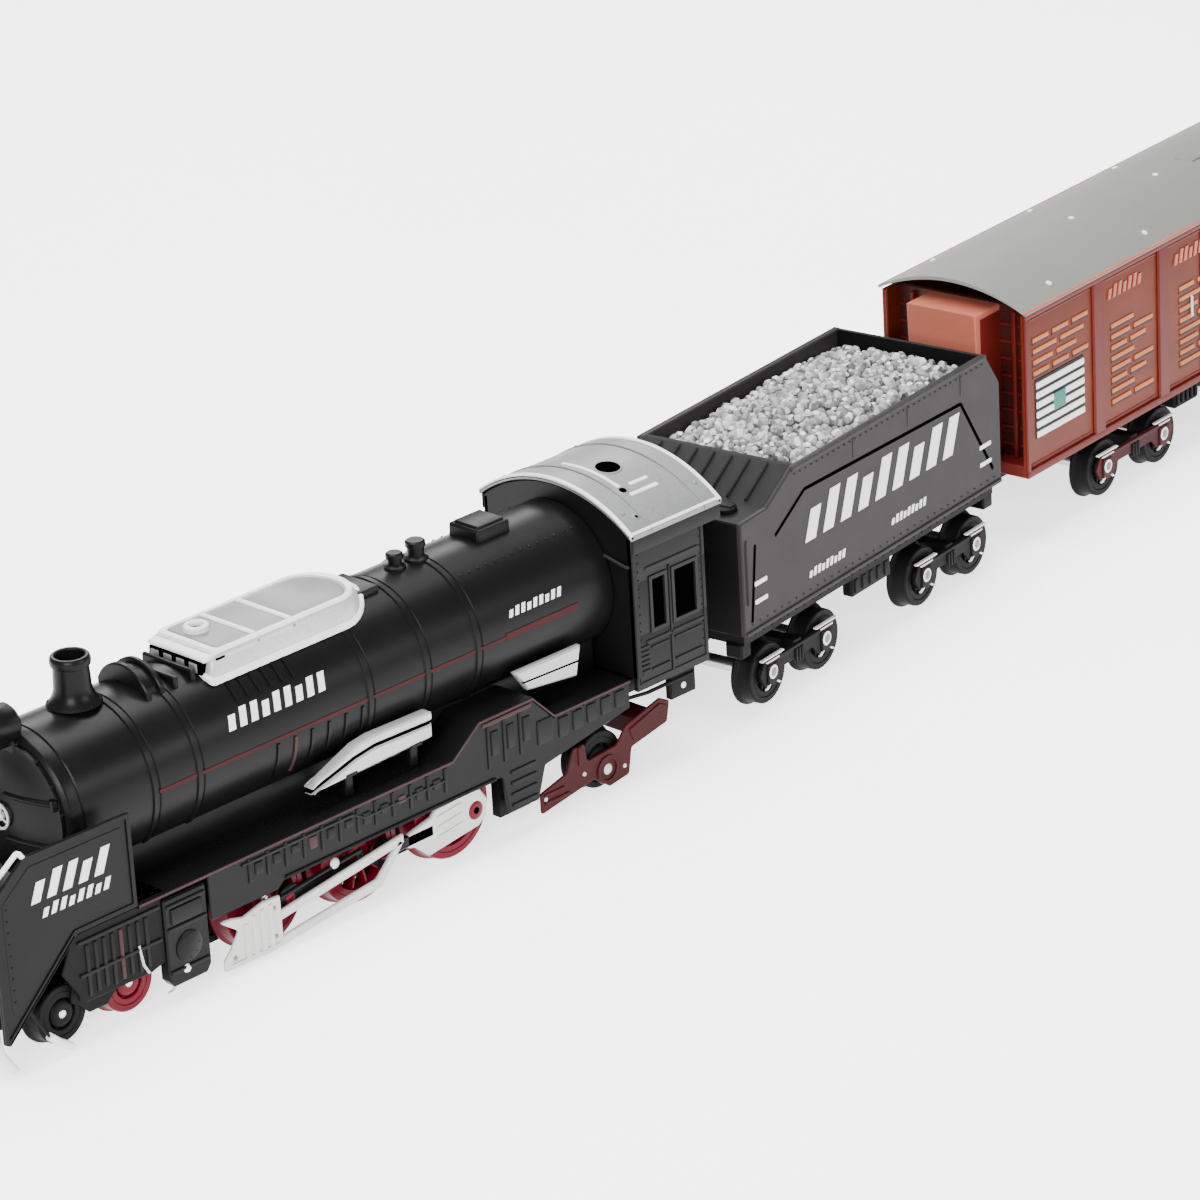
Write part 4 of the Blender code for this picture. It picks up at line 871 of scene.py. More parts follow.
def cab_roof(shape):
    """The roof: an arched skin with ribs, a white rim at front and back that is a painted highlight, a speaker
    hole and a small hole shown as near-black discs of painted shade, and a vent frame.
    """
    half = CAB_HALF + 0.6
    rise = ROOF_RISE + 0.2
    shape.prism(arched_strip(half, EAVE_Z - 0.3, rise, EAVE_Z + 0.7, rise, 28), ROOF_X, 0.2, "roof_grey", "x")
    # The rims at the roof's front and back are white as a painted highlight on those edges.
    rim = arched_strip(half, EAVE_Z + 0.1, rise, EAVE_Z + 0.9, rise + 0.1, 28)
    for x in (ROOF_X[0], ROOF_X[1] - 1):
        shape.prism(rim, (x, x + 1), 0.12, axis="x")
    for x in (185.6, 201.6):
        shape.prism(rim, (x, x + 0.5), 0.1, "roof_grey", "x")
    radius = arch_radius(half, rise)

    def height(y):
        return EAVE_Z + 0.7 + rise - radius + math.sqrt(radius ** 2 - y ** 2)

    for _ in shape.both_sides():
        shape.box(ROOF_X, (half - 0.9, half - 0.15), (EAVE_Z + 0.4, EAVE_Z + 1.25), 0.25)
        shape.box((180, ROOF_X[1] - 0.3), (22.06, half - 0.1), (51.8, EAVE_Z + 0.2), look="black_plastic")
        for x in (182.4, 204.2):
            shape.stud((x, 17.6, height(17.6) - 0.05), 0.6, 0.4, look="roof_grey", normal=(0, 0.4, 1))
    for x, y, size in ((192, -4.2, 2.7), (187.8, -12.6, 0.9), (184.6, -19.4, 0.45)):
        up = (0, y, 0.7 + math.sqrt(radius ** 2 - y ** 2) * 0.98)
        shape.stud((x, y, height(y) + 0.02), size + 0.4, 0.14, 32, "roof_grey", up)
        # The near-black disc inside each ring is painted shade in the hole.
        shape.stud((x, y, height(y) + 0.12), size, 0.12, 32, "painted_shade_black", up)
    across = (5, 1, -3, -7, -11.5)
    frame_line = [(y, height(y) + 0.3) for y in across] + [(y, height(y) - 0.2) for y in across[::-1]]
    shape.prism(frame_line, (187.4, 188.3), 0.12, axis="x")
    for x, y in (((188.2, 196.4), -14.4), ((190.6, 196), -11.8)):
        low, high = about(y, 0.35)
        shape.prism([(low, height(low) - 0.2), (low, height(low) + 0.25), (high, height(high) + 0.25),
                     (high, height(high) - 0.2)], x, 0.08, axis="x")


def front_beam(shape):
    """The buffer beam with bolt heads, two lamps' feet, steps, white handrails and its brace."""
    shape.box((5.5, 8), (-19.8, 19.8), (10.5, 22.6), 0.3)
    shape.box((7.5, 21.6), (-8, 8), (19.2, 22.4), 0.3)
    for _ in shape.both_sides():
        for y, z in ((17.6, 12.4), (17.6, 20.8), (12, 12.4), (12, 20.8)):
            shape.stud((7.95, y, z), 0.5, 0.4, 6, normal=(1, 0, 0))
        shape.box((8, 9), (13.2, 16.4), (13.4, 19.4), 0.25)
        shape.tube([(6.6, 18.4, 22.4), (6.6, 18.4, 23)], 0.8, 12)
        shape.tube([(6.6, 17, 10.8), (5.8, 19.4, 5.4), (7.6, 21.2, 1.6)], 0.85, 10, 2, "white_print")
        shape.tube([(12.4, 20.2, 13.2), (16.6, 20.9, 5.4), (21.4, 21.3, 1.6)], 0.3, 8, 2)
        shape.tube([(16.6, 20.9, 5.4), (19, 21.1, 3.2), (21.4, 21.3, 1.6)], 0.85, 10, 2, "white_print")
    shape.row(3, (0, 5, 0), (10, 20), (-5.4, -4.6), (22.2, 22.8), 0.15)


# ---------------------------------------------------------------- wheels and bogies


def wheelset(node, vehicle, x, radius, spokes, look, crank=False):
    """Two spoked wheels on a stepped axle, with hubs, and on drivers crank pins and balance weights."""
    shape = Shape(look)
    centre = (x, 0, radius)
    tread = radius - 0.8
    inner = radius - 2.5
    rim = [(13.6, radius - 0.35), (13.75, radius), (14.2, radius), (14.6, tread + 0.25), (15, tread),
           (17.95, tread - 0.12), (18.2, tread - 0.4), (18.2, tread - 1.5), (17.7, tread - 1.8),
           (13.8, tread - 1.8), (13.6, tread - 1.4)]
    ring = [(14, inner + 0.25), (17.9, inner + 0.25), (18.1, inner), (18.1, inner - 1.1), (17.8, inner - 1.3),
            (14.2, inner - 1.3), (14, inner - 1)]
    hub = [(13.7, 1.5), (13.7, 2.9), (17.7, 2.9), (18.1, 2.6), (18.3, 2), (18.3, 1.3), (18.15, 0.6)]
    spoke = ((14.9, 1), (17, 1), (17.5, 0.5), (17.5, -0.5), (17, -1), (14.9, -1))
    shape.lathe([(-13.8, 1.4), (-13.4, 1.55), (13.4, 1.55), (13.8, 1.4)], centre, 20, "y", "motor_steel")
    for _ in shape.both_sides():
        shape.lathe(rim, centre, 56, "y", loop=True)
        shape.lathe(ring, centre, 56, "y", loop=True)
        shape.lathe(hub, centre, 28, "y")
        shape.stud((x, 18.1, radius), 1, 0.4, 14, "motor_steel")
        for u, v in around(spokes, 1, 0.5):
            shape.loft([[shape.placed((x + u * reach - v * wide * w, y, radius + v * reach + u * wide * w))
                         for y, w in spoke] for reach, wide in ((2.4, 0.62), (inner - 0.8, 0.42))])
        if crank:
            crank_and_weight(shape, x, inner)
    shape.stand_for(node, vehicle)


def crank_and_weight(shape, x, inner):
    """The crank web and its pin, and the balance weight opposite."""
    pin = (x + PIN_DX, 0, PIN_Z)
    near, far = (15, 18.2)[::shape.side]
    bevel = 0.2 * shape.side
    shape.lathe([(near, 2.2), (near + bevel, 2.4), (far - bevel, 2.4), (far, 2.1)], pin, 20, "y")
    shape.lathe([(17.9, 1.4), (19.5, 1.4)], pin, 16, "y", "rod_silver")
    weight = []
    for reach, way in ((inner - 0.6, 1), (inner - 3.4, -1)):
        for k in range(9):
            angle = CRANK_ANGLE + math.pi + way * (1.5 * k / 8 - 0.75)
            weight.append((x + reach * math.cos(angle), DRIVER_RADIUS + reach * math.sin(angle)))
    shape.prism(weight, (14.6, 17.9), 0.25)


def loco_wheels():
    for number, x in enumerate(DRIVER_X, 1):
        wheelset(f"driver_wheelset_{number}", LOCO, x, DRIVER_RADIUS, 12, "red_plastic", crank=True)
    for end, label, look in ((-1, "front", "frame_black"), (1, "rear", "red_plastic")):
        wheelset("lead_wheelset_" + label, LOCO, LEAD_PIVOT_X + end * LEAD_HALF_BASE, LEAD_RADIUS, 8, look)
    wheelset("trailing_wheelset", LOCO, TRAIL_AXLE_X, TRAIL_RADIUS, 9, "frame_black")


def lead_bogie_frame(shape):
    """The leading bogie: a plate with ribs and bolts, axle lugs, cross arms and slotted side guards."""
    shape.box((19, 43), (-12, 12), (9.6, 11.5), 0.35)
    shape.row(4, (0, 6, 0), (20.4, 41.6), (-9.4, -8.6), (9.2, 9.9), 0.15)
    for x in (21.4, 40.6):
        for k in range(5):
            shape.stud((x, -9.6 + 4.8 * k, 11.45), 0.5, 0.25, 6, normal=UP)
    half_lug = [(-2.6, 9.8), (-2.6, 4.6), (-2, 4.2), (-1, 4.2), (-1, 6)]
    lug = half_lug + [(-x, z) for x, z in half_lug[::-1]]
    guard = [(24.4, 8.6), (25.4, 12.4), (41, 12.4), (42, 8.6), (36.4, 7.4), (33.2, 4.9), (28.8, 4.9),
             (26.4, 7.4)]
    for _ in shape.both_sides():
        for x in about(LEAD_PIVOT_X, LEAD_HALF_BASE):
            shape.prism(shift(lug, x), (9.4, 11.8))
        shape.prism([(23, 7), (39, 7), (40, 9.8), (22, 9.8)], (11, 12))
        shape.box((29.6, 32.4), (11, 19.4), (9.7, 11.4), 0.3)
        shape.prism(fillet(guard, 0.6, 2), (18.2, 18.7))
        shape.row(6, (2.3, 0, 0), (26.4, 27.2), (18.5, 19), (8.2, 11.8), 0.15)


def trailing_truck_frame(shape):
    """The trailing truck: a cross bar, and a dark red pipe frame with a ring, a plate and bolts each side."""
    shape.box((181, 187), (-19.2, 19.2), (9, 13.6), 0.4)
    outline = [(152, 1.6), (152, 6.4), (160, 8.4), (162.2, 13.2), (165.6, 13.2), (166.2, 9), (175, 9.6),
               (178, 13), (188.5, 15.6), (191.5, 14), (190.5, 9.4), (179.5, 7.4), (178.4, 1.6), (172.5, 0.8),
               (168, 4), (160, 2.8)]
    plate = [(178.6, 11.8), (188.2, 14.6), (190.6, 13.4), (189.9, 10.4), (180, 8.6)]
    face = (19.3, 19.8)
    for _ in shape.both_sides():
        shape.prism(fillet(outline, 0.8), (18.9, 19.5))
        shape.lathe([(18.9, 3.4), (19.8, 3.2), (19.8, 2.4), (18.9, 2.2)], (TRAIL_AXLE_X + 1, 0, 5), 32, "y",
                    loop=True)
        shape.stud((TRAIL_AXLE_X + 1, 19.4, 5), 1.3, 0.4, 16, "rod_silver")
        shape.prism(fillet(plate, 0.5, 2), face)
        shape.box((153, 160.4), face, (3.4, 4.2), 0.15)
        shape.box((153, 159), face, (5.4, 6), 0.15)
        shape.box((163.4, 164.4), face, (8.8, 13), 0.15)
        for x, z in ((153.4, 4.8), (165, 6.4), (177, 4), (187, 12.4)):
            shape.stud((x, 19.5, z), 0.55, 0.3, look="rod_silver")


def car_bogie(vehicle, prefix, label, number, x, half):
    """A car's bogie: bolster, side frames with axle boxes, leaf springs, hangers and white journal caps."""
    shape = Shape("pinstripe" if prefix == "boxcar" else "frame_black")
    shape.box((x - 1.6, x + 1.6), (-19.2, 19.2), (8, 12.2), 0.3, "frame_black")
    right = [(half + 2.6, 11.6), (half + 4.6, 8.6), (half + 2.6, 5), (half - 2.6, 5), (half - 5, 8)]
    outline = right + [(-a, z) for a, z in right[::-1]]
    face = (19.2, 19.8)
    for _ in shape.both_sides():
        shape.prism(fillet(shift(outline, x), 0.6, 2), (18.8, 19.4))
        shape.box(about(x, half + 2), face, (10.6, 11.4))
        for axle in about(x, half):
            shape.box(about(axle, 2), face, (5.8, 10.4), 0.4)
            shape.stud((axle, 19.6, 8.4), 1.9, 0.35, 24, "white_print")
            shape.stud((axle, 19.85, 8.4), 1.1, 0.25, 16, "panel_grey")
            for level in range(4):
                z = 12.3 - 0.42 * level
                shape.box(about(axle, 4.2 - 0.9 * level), (19, 19.9), (z - 0.36, z), 0.1,
                          "pinstripe" if level % 2 else "white_print")
            for lean in (-1, 1):
                leg = [(lean, 5.9), (1.7 * lean, 5.9), (3 * lean, 5), (2.2 * lean, 5)]
                shape.prism(shift(leg, axle), face, 0.08, "white_print")
        shape.row(3, (1.15, 0, 0), (x - 1.6, x - 0.8), face, (7, 10.4), 0.15, "frame_black")
    shape.stand_for(f"{prefix}_bogie_{label}", vehicle)
    for offset, axle in enumerate(about(x, half)):
        wheelset(f"{prefix}_wheelset_{number + offset}", vehicle, axle, CAR_RADIUS, 8, "frame_black")


# ---------------------------------------------------------------- tender


def tender_body(shape):
    """The tender's tank: sloped front, open bunker, rim, panels with grooves drawn as near-black strips of painted
    shade, bars, ladders and rivets.
    """
    end = TENDER_LENGTH
    across = about(0, TENDER_INNER_HALF)
    outline = [(0, TENDER_FLOOR_Z), (0, 46.6), (10.2, 46.9), (20.3, TENDER_RIM_Z), (98.5, TENDER_RIM_Z),
               (end, 44.6), (end, TENDER_FLOOR_Z)]
    for _ in shape.both_sides():
        shape.prism(fillet(outline, 0.5, 2), (18.9, TENDER_SKIN), 0.25, "tender_grey")
        tender_side(shape)
    # The front wall takes the frame's black, not the tank's grey of the rear wall: painted shade of the gap behind
    # the cab.
    shape.box((0, 1.5), across, (TENDER_FLOOR_Z, 46.4))
    shape.box((end - 1.5, end), across, (TENDER_FLOOR_Z, 44.4), look="tender_grey")
    shape.box((1, end - 1), across, (43.1, 44.5), look="tender_grey")
    slope = [(0.2, 46.5), (10.2, 46.8), (20.3, TENDER_RIM_Z), (21.9, TENDER_RIM_Z), (21.9, 44.3)]
    shape.prism([(0.2, 44.3), *slope], across)
    shape.prism([(97.1, 44.3), (97.1, TENDER_RIM_Z), (98.4, TENDER_RIM_Z - 0.1), (end - 0.1, 44.5)], across)
    for y in (-14, -9.2, -4.6, 0, 4.6, 9.2, 14):
        shape.prism([(11, 46.9), (20, 52.5), (20, TENDER_RIM_Z), (10.9, 47.5)], about(y, 0.35), 0.12)
    for y in (-12.4, 12.4):
        shape.lathe([(46.2, 2.8), (47.5, 2.7), (47.8, 2.3)], (5.4, y, 0), 24)
        shape.box((4.4, 6.4), about(y, 2.2), (47.6, 48.1), 0.15)
    for z in (24, 29, 34, 39):
        rung = [(103.9, 9, z), (104.15, 9, z), (104.15, 15, z), (103.9, 15, z)]
        shape.tube(rung, 0.32, 6, 0.2, "panel_grey")


def tender_side(shape):
    """The trim on one side of the tank."""
    skin = TENDER_SKIN
    face = (skin - 0.2, TENDER_HALF)
    shape.box((19.6, 98.6), face, (TENDER_RIM_Z - 1, TENDER_RIM_Z), look="tender_grey")
    shape.box((0.3, TENDER_LENGTH - 0.3), face, (TENDER_FLOOR_Z, TENDER_FLOOR_Z + 0.9), look="tender_grey")
    slant, ridge = ((5, 40.3), (2.8, 22.9)), ((12.7, 39.6), (24.4, 46.3), (87.8, 44.6), (100.6, 24.5))
    # Each groove is a near-black strip of painted shade laid on the side.
    for groove in (slant, *zip(ridge, ridge[1:])):
        a, b = [Vector(point) for point in groove]
        run = (b - a).normalized()
        half = Vector((-run.y, run.x)) * 0.42
        shape.prism([a - half, b - half, b + half, a + half], (skin - 0.1, skin + 0.07), 0.03, "painted_shade_black")
    for x, z, slant in (((24, 90), (33.8, 42.9), 3.4), ((25, 40), (25.2, 27.1), 0.5),
                        ((58, 73), (25.8, 27.7), 0.5)):
        shape.bars(x, z, skin, 9, slant, lift=0.18)
    for x in ((4.2, 8.8), (95.2, 99.8)):
        shape.row(2, (0, 0, 4.2), x, (skin - 0.1, skin + 0.2), (26.6, 27.6), 0.08, "white_print")
    for start, end, z in ((21, 97, 51), (3, 101, 22.4)):
        shape.studs((start, skin, z), (end, skin, z), 36, 0.27, 0.24, "tender_grey")
    shape.row(3, (22, 0, 0), (43.75, 44.25), (skin - 0.1, skin + 0.12), (46.6, 51.6), 0.06, "tender_grey")
    rail = TENDER_HALF - 0.3
    shape.tube([(1.6, 19.8, 27), (1.6, rail, 27.6), (1.6, rail, 42), (1.6, 19.8, 42.6)], 0.3, 6, 0.3,
               "tender_grey")


def coal_load(shape):
    """The coal: a bed, and several hundred lumps heaped towards the middle."""
    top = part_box("coal_load")[1].z / MM - 0.2
    shape.box((22.4, 96.6), about(0, COAL_HALF), (44.9, 49), 0.3)
    rng = random.Random(SEED)
    columns, rows = 33, 17
    for i in range(columns):
        for j in range(rows):
            u = (i + 0.5) / columns
            v = (j + 0.5) / rows
            x = 22.9 + 73.2 * u + rng.uniform(-0.6, 0.6)
            y = -17.9 + 35.8 * v + rng.uniform(-0.6, 0.6)
            size = rng.uniform(1, 1.75)
            x = max(22.6 + size, min(96.4 - size, x))
            y = max(size - COAL_HALF, min(COAL_HALF - size, y))
            swell = math.sin(math.pi * u) ** 0.6 * math.sin(math.pi * v) ** 0.8
            z = min(48.9 + 3.9 * swell + rng.uniform(-0.4, 0.6), top - size * 0.9)
            lump(shape, Vector((x, y, z)), size, rng)


def lump(shape, centre, size, rng):
    """One broken, flat-sided lump."""
    sides = 6
    turn = rng.uniform(0, math.pi)
    tilt = Matrix.Rotation(rng.uniform(-0.5, 0.5), 3, "X") @ Matrix.Rotation(rng.uniform(-0.5, 0.5), 3, "Y")
    rings = []
    for height, spread in ((-0.8, 0.6), (-0.15, 1), (0.45, 0.86), (0.85, 0.42)):
        ring = []
        for k in range(sides):
            angle = turn + 2 * math.pi * k / sides
            reach = size * spread * rng.uniform(0.82, 1.05)
            offset = Vector((reach * math.cos(angle), reach * math.sin(angle), size * height * 0.92))
            ring.append(centre + tilt @ offset)
        rings.append(ring)
    shape.loft(rings)


# ---------------------------------------------------------------- boxcar


def boxcar_body(shape):
    """The boxcar's shell: side walls, a floor, and recessed ends."""
    low, high = BOXCAR_Z
    for _ in shape.both_sides():
        shape.box((0, BOXCAR_LENGTH), (18.5, BOXCAR_SKIN), (low, high), 0.25, "boxcar_red")
        boxcar_side(shape)
    shape.box((5, BOXCAR_LENGTH - 5), (-18.8, 18.8), (low, 18.2), 0.2, "boxcar_red")
    for end, inwards, reach in ((0, 1, -5), (BOXCAR_LENGTH, -1, 0)):
        boxcar_end(shape, end, inwards, reach)


def boxcar_end(shape, end, inwards, reach):
    """One end: a wall set back in the shell, in a darker red that is painted shade, a floor lip, and a vestibule
    with ribs and a door frame; the vestibule's face and ribs are a paler red that is painted light.
    """
    low, high = BOXCAR_Z

    def span(near, far):
        return sorted((end + inwards * near, end + inwards * far))

    # The end wall's darker red is painted shade in the recess.
    shape.box(span(5, 6.5), (-18.8, 18.8), (low, high), 0.2, "boxcar_painted_shade")
    shape.box(span(0, 5.4), (-18.8, 18.8), (low, 19.4), 0.25)
    foot = reach + BOXCAR_END_LEAN
    face = [(foot, VESTIBULE_FOOT_Z), (5.4, VESTIBULE_FOOT_Z), (5.4, high - 0.2), (reach, high - 0.2)]
    # The vestibule's paler red is painted light on its lit face.
    shape.prism([(end + inwards * x, z) for x, z in face], (-9.6, 9.6), 0.3, "boxcar_salmon")
    for _ in shape.both_sides():
        shape.box(span(foot + 0.4, 5.2), (9.5, 9.7), (19.4, 54.8), 0.05)
        shape.box(span(3.6, 5.2), (13.6, 14.6), (19.2, 55.4), 0.25)
        shape.row(8, (0, 0, 4.2), span(4.6, 5.2), (9.8, 18.6), (22, 22.6), 0.12)
    for k in range(7):
        z = 22 + 4.8 * k
        front = reach + BOXCAR_END_LEAN * (high - z) / (high - VESTIBULE_FOOT_Z)
        # The ribs share the vestibule's paler red of painted light.
        shape.box(span(front - 0.02, front + 1.2), (-8.4, 8.4), (z, z + 1), 0.2, "boxcar_salmon")


def boxcar_side(shape):
    """The planks, posts, slat rows, placards and rail on one side."""
    low, high = BOXCAR_Z
    skin = BOXCAR_SKIN
    proud = (skin - 0.3, BOXCAR_HALF)
    for z in ((low, low + 1.8), (high - 1.2, high)):
        shape.box((0, BOXCAR_LENGTH), proud, z, 0.25)
    for left in (0, BOXCAR_LENGTH - 1.4):
        shape.box((left, left + 1.4), proud, (low + 1, high - 1), 0.25)
    posts = (28.4, 56.4, 91, 117.8)
    for x in posts:
        shape.box((x, x + 4.6), proud, (low + 1, high - 1), 0.5)
    bays = ((2.4, 28), (33.4, 56), (61.4, 90.6), (96, 117.4), (122.8, 147.6))
    for number, bay in enumerate(bays):
        shape.box(bay, (skin - 0.2, skin + 0.14), (low + 2.2, low + 2.8), 0.1)
        shape.box(bay, (skin - 0.2, skin + 0.14), (high - 2.2, high - 1.7), 0.1, "boxcar_red")
        slat_rows(shape, number, *bay)
    for left in (4.4, 125.4):
        shape.box((left, left + 20.2), (skin - 0.1, skin + 0.2), (25, 39.4), 0.1, "cab_frame")
        shape.row(6, (0, 0, 2.4), (left + 0.2, left + 20), (skin - 0.1, skin + 0.5), (25.2, 26.7), 0.15,
                  "white_print")
        shape.box((left + 7, left + 12), (skin, skin + 0.56), (29.8, 34), 0.1, "placard_teal")
    for x, z, count in (((35.2, 50.8), (49.4, 52.6), 7), ((98, 113.6), (49.4, 52.6), 7),
                        ((64, 84), (49, 52.4), 9)):
        shape.bars(x, z, skin, count, 0.8, "boxcar_salmon", 0.3)
    shape.box((75.4, 76.4), (skin - 0.3, skin + 0.3), (low + 1.6, high - 1.2), 0.15)
    rail = BOXCAR_HALF - 0.4
    shape.tube([(71.4, skin, 34), (71.4, rail, 34.4), (71.4, rail, 39), (71.4, skin, 39.4)], 0.34, 6, 0.3,
               "rod_silver")


def slat_rows(shape, number, left, right):
    """Rows of short moulded slats, shifted from row to row, each with a dark red strip of painted shadow below it;
    in the end bays they lie above a placard.
    """
    skin = BOXCAR_SKIN
    bottom, top = (40.6, 52) if number in (0, 4) else (23, 46.6)
    for row in range(int((top - bottom) / 2.7)):
        z = bottom + 2.7 * row
        x = left + 1.4 + 1.7 * ((row * 3 + number) % 3)
        length = 6.4 + 1.6 * ((row + number) % 3)
        while x + length < right - 1:
            shape.box((x, x + length), (skin - 0.1, skin + 0.28), (z, z + 1.1), 0.12, "orange_print")
            # A dark red strip under each slat is its painted shadow.
            shape.box((x - 0.2, x + length + 0.2), (skin - 0.1, skin + 0.12), (z - 0.7, z), 0.05,
                      "boxcar_painted_shade")
            x += length + 1.8


def boxcar_roof(shape):
    """The boxcar's roof: an arched skin, a rib at each end, edge strips, pips and hatches."""
    half = BOXCAR_HALF + 0.5
    eave = BOXCAR_Z[1]
    rise = BOXCAR_ROOF_RISE - 0.5
    length = (-0.8, BOXCAR_LENGTH + 0.8)
    shape.prism(arched_strip(half, eave + 0.3, rise - 0.1, eave + 0.8, rise, 24), length, axis="x")
    for x in (-0.7, BOXCAR_LENGTH - 0.3):
        rib = arched_strip(half, eave + 0.4, rise, eave + 0.9, rise + 0.3, 24)
        shape.prism(rib, (x, x + 1), 0.12, axis="x")
    radius = arch_radius(half, rise)

    def height(y):
        return eave + 0.8 + rise - radius + math.sqrt(radius ** 2 - y ** 2)

    for _ in shape.both_sides():
        shape.box(length, (half - 0.7, half), (eave + 0.4, eave + 1.1), look="boxcar_salmon")
        for x in (15.7, 56.4, 93.6, 134.3):
            shape.stud((x, 16.2, height(16.2) - 0.05), 0.8, 0.5, 12, "white_print", (0, 0.4, 1))
    for x in (49.7, 86.6, 124):
        shape.stud((x, 0, height(0) - 0.05), 0.8, 0.38, 12, "white_print", UP)
    shape.row(2, (42, 0, 0), (99, 104), (-2.6, 2.6), (height(2.6) - 0.3, height(0) + 0.34), 0.3)


# ---------------------------------------------------------------- inner parts and underframes


def battery_cells():
    """Two cells: a jacket with rolled shoulders, a printed band, a bare can end and a button."""
    turned = (
        ("cell_jacket", 40, [(0.5, 6.4), (0.3, 6.9), (0.7, 7.15), (48.3, 7.15), (48.9, 6.9), (49.1, 6.3),
                             (48.9, 5.6)]),
        ("orange_print", 40, [(12, 6.9), (12.1, 7.25), (20, 7.25), (20.1, 6.9)]),
        ("motor_steel", 32, [(0, 5.6), (0.1, 6), (0.8, 6.1)]),
        ("motor_steel", 32, [(48.5, 5.8), (49.2, 5.4), (49.3, 2.75), (50.3, 2.7), (50.5, 2.3)]),
    )
    for label, z in CELL_Z:
        shape = Shape()
        for look, sides, profile in turned:
            shape.lathe(profile, (CELL_X, 0, z), sides, "x", look)
        shape.stand_for("battery_cell_" + label)


def motor(shape):
    """The motor: a flat-sided can with a crimped end bell, vents, a shaft boss and two terminals."""
    x = DRIVER_X[1]
    z = 0.5 * (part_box("motor")[0].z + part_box("motor")[1].z) / MM
    flats = [(-5, -7.6), (5, -7.6), (6.4, -4), (6.4, 4), (5, 7.6), (-5, 7.6), (-6.4, 4), (-6.4, -4)]
    can = fillet(shift(flats, x, z), 1.4)
    shape.prism(can, (-7.6, 3), 0.4)
    shape.prism(inset(can, 0.7), (-9, -7.4), 0.3, "nylon_white")
    shape.lathe([(2.8, 2.8), (3.3, 2.7), (3.6, 2.4)], (x, 0, z), 24, "y")
    for end in (-1, 1):
        shape.box(about(x + 3 * end, 0.8), (-9.2, -8.4), about(z, 0.3), 0.1, "rod_silver")
        # A near-black vent slot of painted shade.
        shape.box(about(x + 4.6 * end, 0.9), (-3, 0.4), (z + 7.3, z + 7.6), 0.1, "painted_shade_black")


def circuit_board(shape):
    """The sound and motor board: laminate, three chips with their legs, and solder dots."""
    shape.box((40, 86), (-8.6, 8.6), (BOARD_Z - 1, BOARD_Z), 0.15, "circuit_green")
    sunk = BOARD_Z - 0.1
    for x, y, wide, deep in ((46, -3, 6, 6), (60, 2, 8, 5), (74, -3.5, 5, 4)):
        shape.box((x, x + wide), (y, y + deep), (sunk, sunk + 0.7), 0.15, "frame_black")
        for edge in (y - 0.7, y + deep - 0.1):
            pitch = (wide - 1.6) / 3
            shape.row(4, (pitch, 0, 0), (x + 0.6, x + 1.1), (edge, edge + 0.8), (sunk, sunk + 0.3), 0.06)
    for k in range(6):
        for x, y in ((42, 7), (72, -7.2)):
            shape.stud((x + 1.9 * k, y, BOARD_Z - 0.05), 0.5, 0.35, normal=UP)


def speaker(shape):
    """The loudspeaker: a pressed basket, its rim, a dished cone and a dust cap."""
    profile = [(51, 4.6), (51.2, 5), (52.2, 5.2), (52.8, 8.2), (53.6, 8.8), (54.7, 9), (55, 8.7), (55, 7.9),
               (54.4, 7.5), (54.6, 7), (53.6, 3.2), (54.2, 2.8), (54.6, 1.6), (54.7, 0.3)]
    shape.lathe(profile, (SPEAKER_X, 0, 0), 40)
    for x, y in around(6, 8.3):
        shape.stud((SPEAKER_X + x, y, 54.85), 0.35, 0.15, 6, "rod_silver", UP)


def power_switch(shape):
    shape.box((192, 196), (-2.4, 2.4), (24.8, 26.3), 0.3)
    shape.row(4, (0.9, 0, 0), (192.5, 193), (-2, 2), (26.1, 27), 0.15)


def battery_cover(shape):
    """The sliding cover: a plate with thumb ridges, a plain arrow, a grip and a lip along both edges."""
    shape.box((116.5, 176.5), (-9.3, 9.3), (17.7, 18.9), 0.25)
    for _ in shape.both_sides():
        shape.box((117, 176), (8.2, 9.2), (17.4, 18), 0.15)
    shape.row(8, (1.6, 0, 0), (152, 152.8), (-5, 5), (17.4, 17.9), 0.15)
    shape.prism([(144, -2.4), (149, 0), (144, 2.4)], (17.45, 17.8), 0.1, axis="z")
    shape.box((166, 170), (-4, 4), (16.4, 17.8), 0.4)


def loco_underframe_trim():
    """Details fastened to the locomotive's chassis: screws, ribs, pipes and brake gear."""
    shape = Shape("frame_black")
    for x in (66, 88.8, 114.8, 138):
        for y in (-8.6, 8.6):
            shape.lathe([(4, 1.3), (3.4, 1.3), (3.2, 1.04)], (x, y, 0), 16, look="screw_steel")
            # The near-black bar across each screw head is painted shade in its slot.
            shape.box(about(x, 1.04), about(y, 0.18), (3.1, 3.25), 0.05, "painted_shade_black")
    shape.row(3, (0, 4, 0), (70, 134), (-4.35, -3.65), (3.3, 3.9), 0.12)
    for _ in shape.both_sides():
        shape.tube([(64, 12.9, 17.4), (140, 12.9, 17.4)], 0.45)
        shape.row(2, (26, 0, 0), (87.9, 89.7), (12, 13.1), (12, 18))
        shape.row(5, (0, 0, 2.2), (142, 148.6), (18.4, 19.1), (8.4, 9.4), 0.15)
        shape.row(9, (2.7, 0, 0), (151, 152.6), (18.6, 19.3), (19, 20.4), 0.15, "edge_line")
        shape.tube([(150, 18.4, 18.8), (175, 18.4, 18.8), (186, 18.4, 17.4), (200, 18.4, 17.4)], 0.45)
        shape.box((193, 201), (16.6, 18.4), (13, 19.8), 0.4)
        shape.stud((197, 18.3, 15.4), 0.8, 0.4, 12, "white_print")
    shape.make("chassis_trim", "loco_chassis")


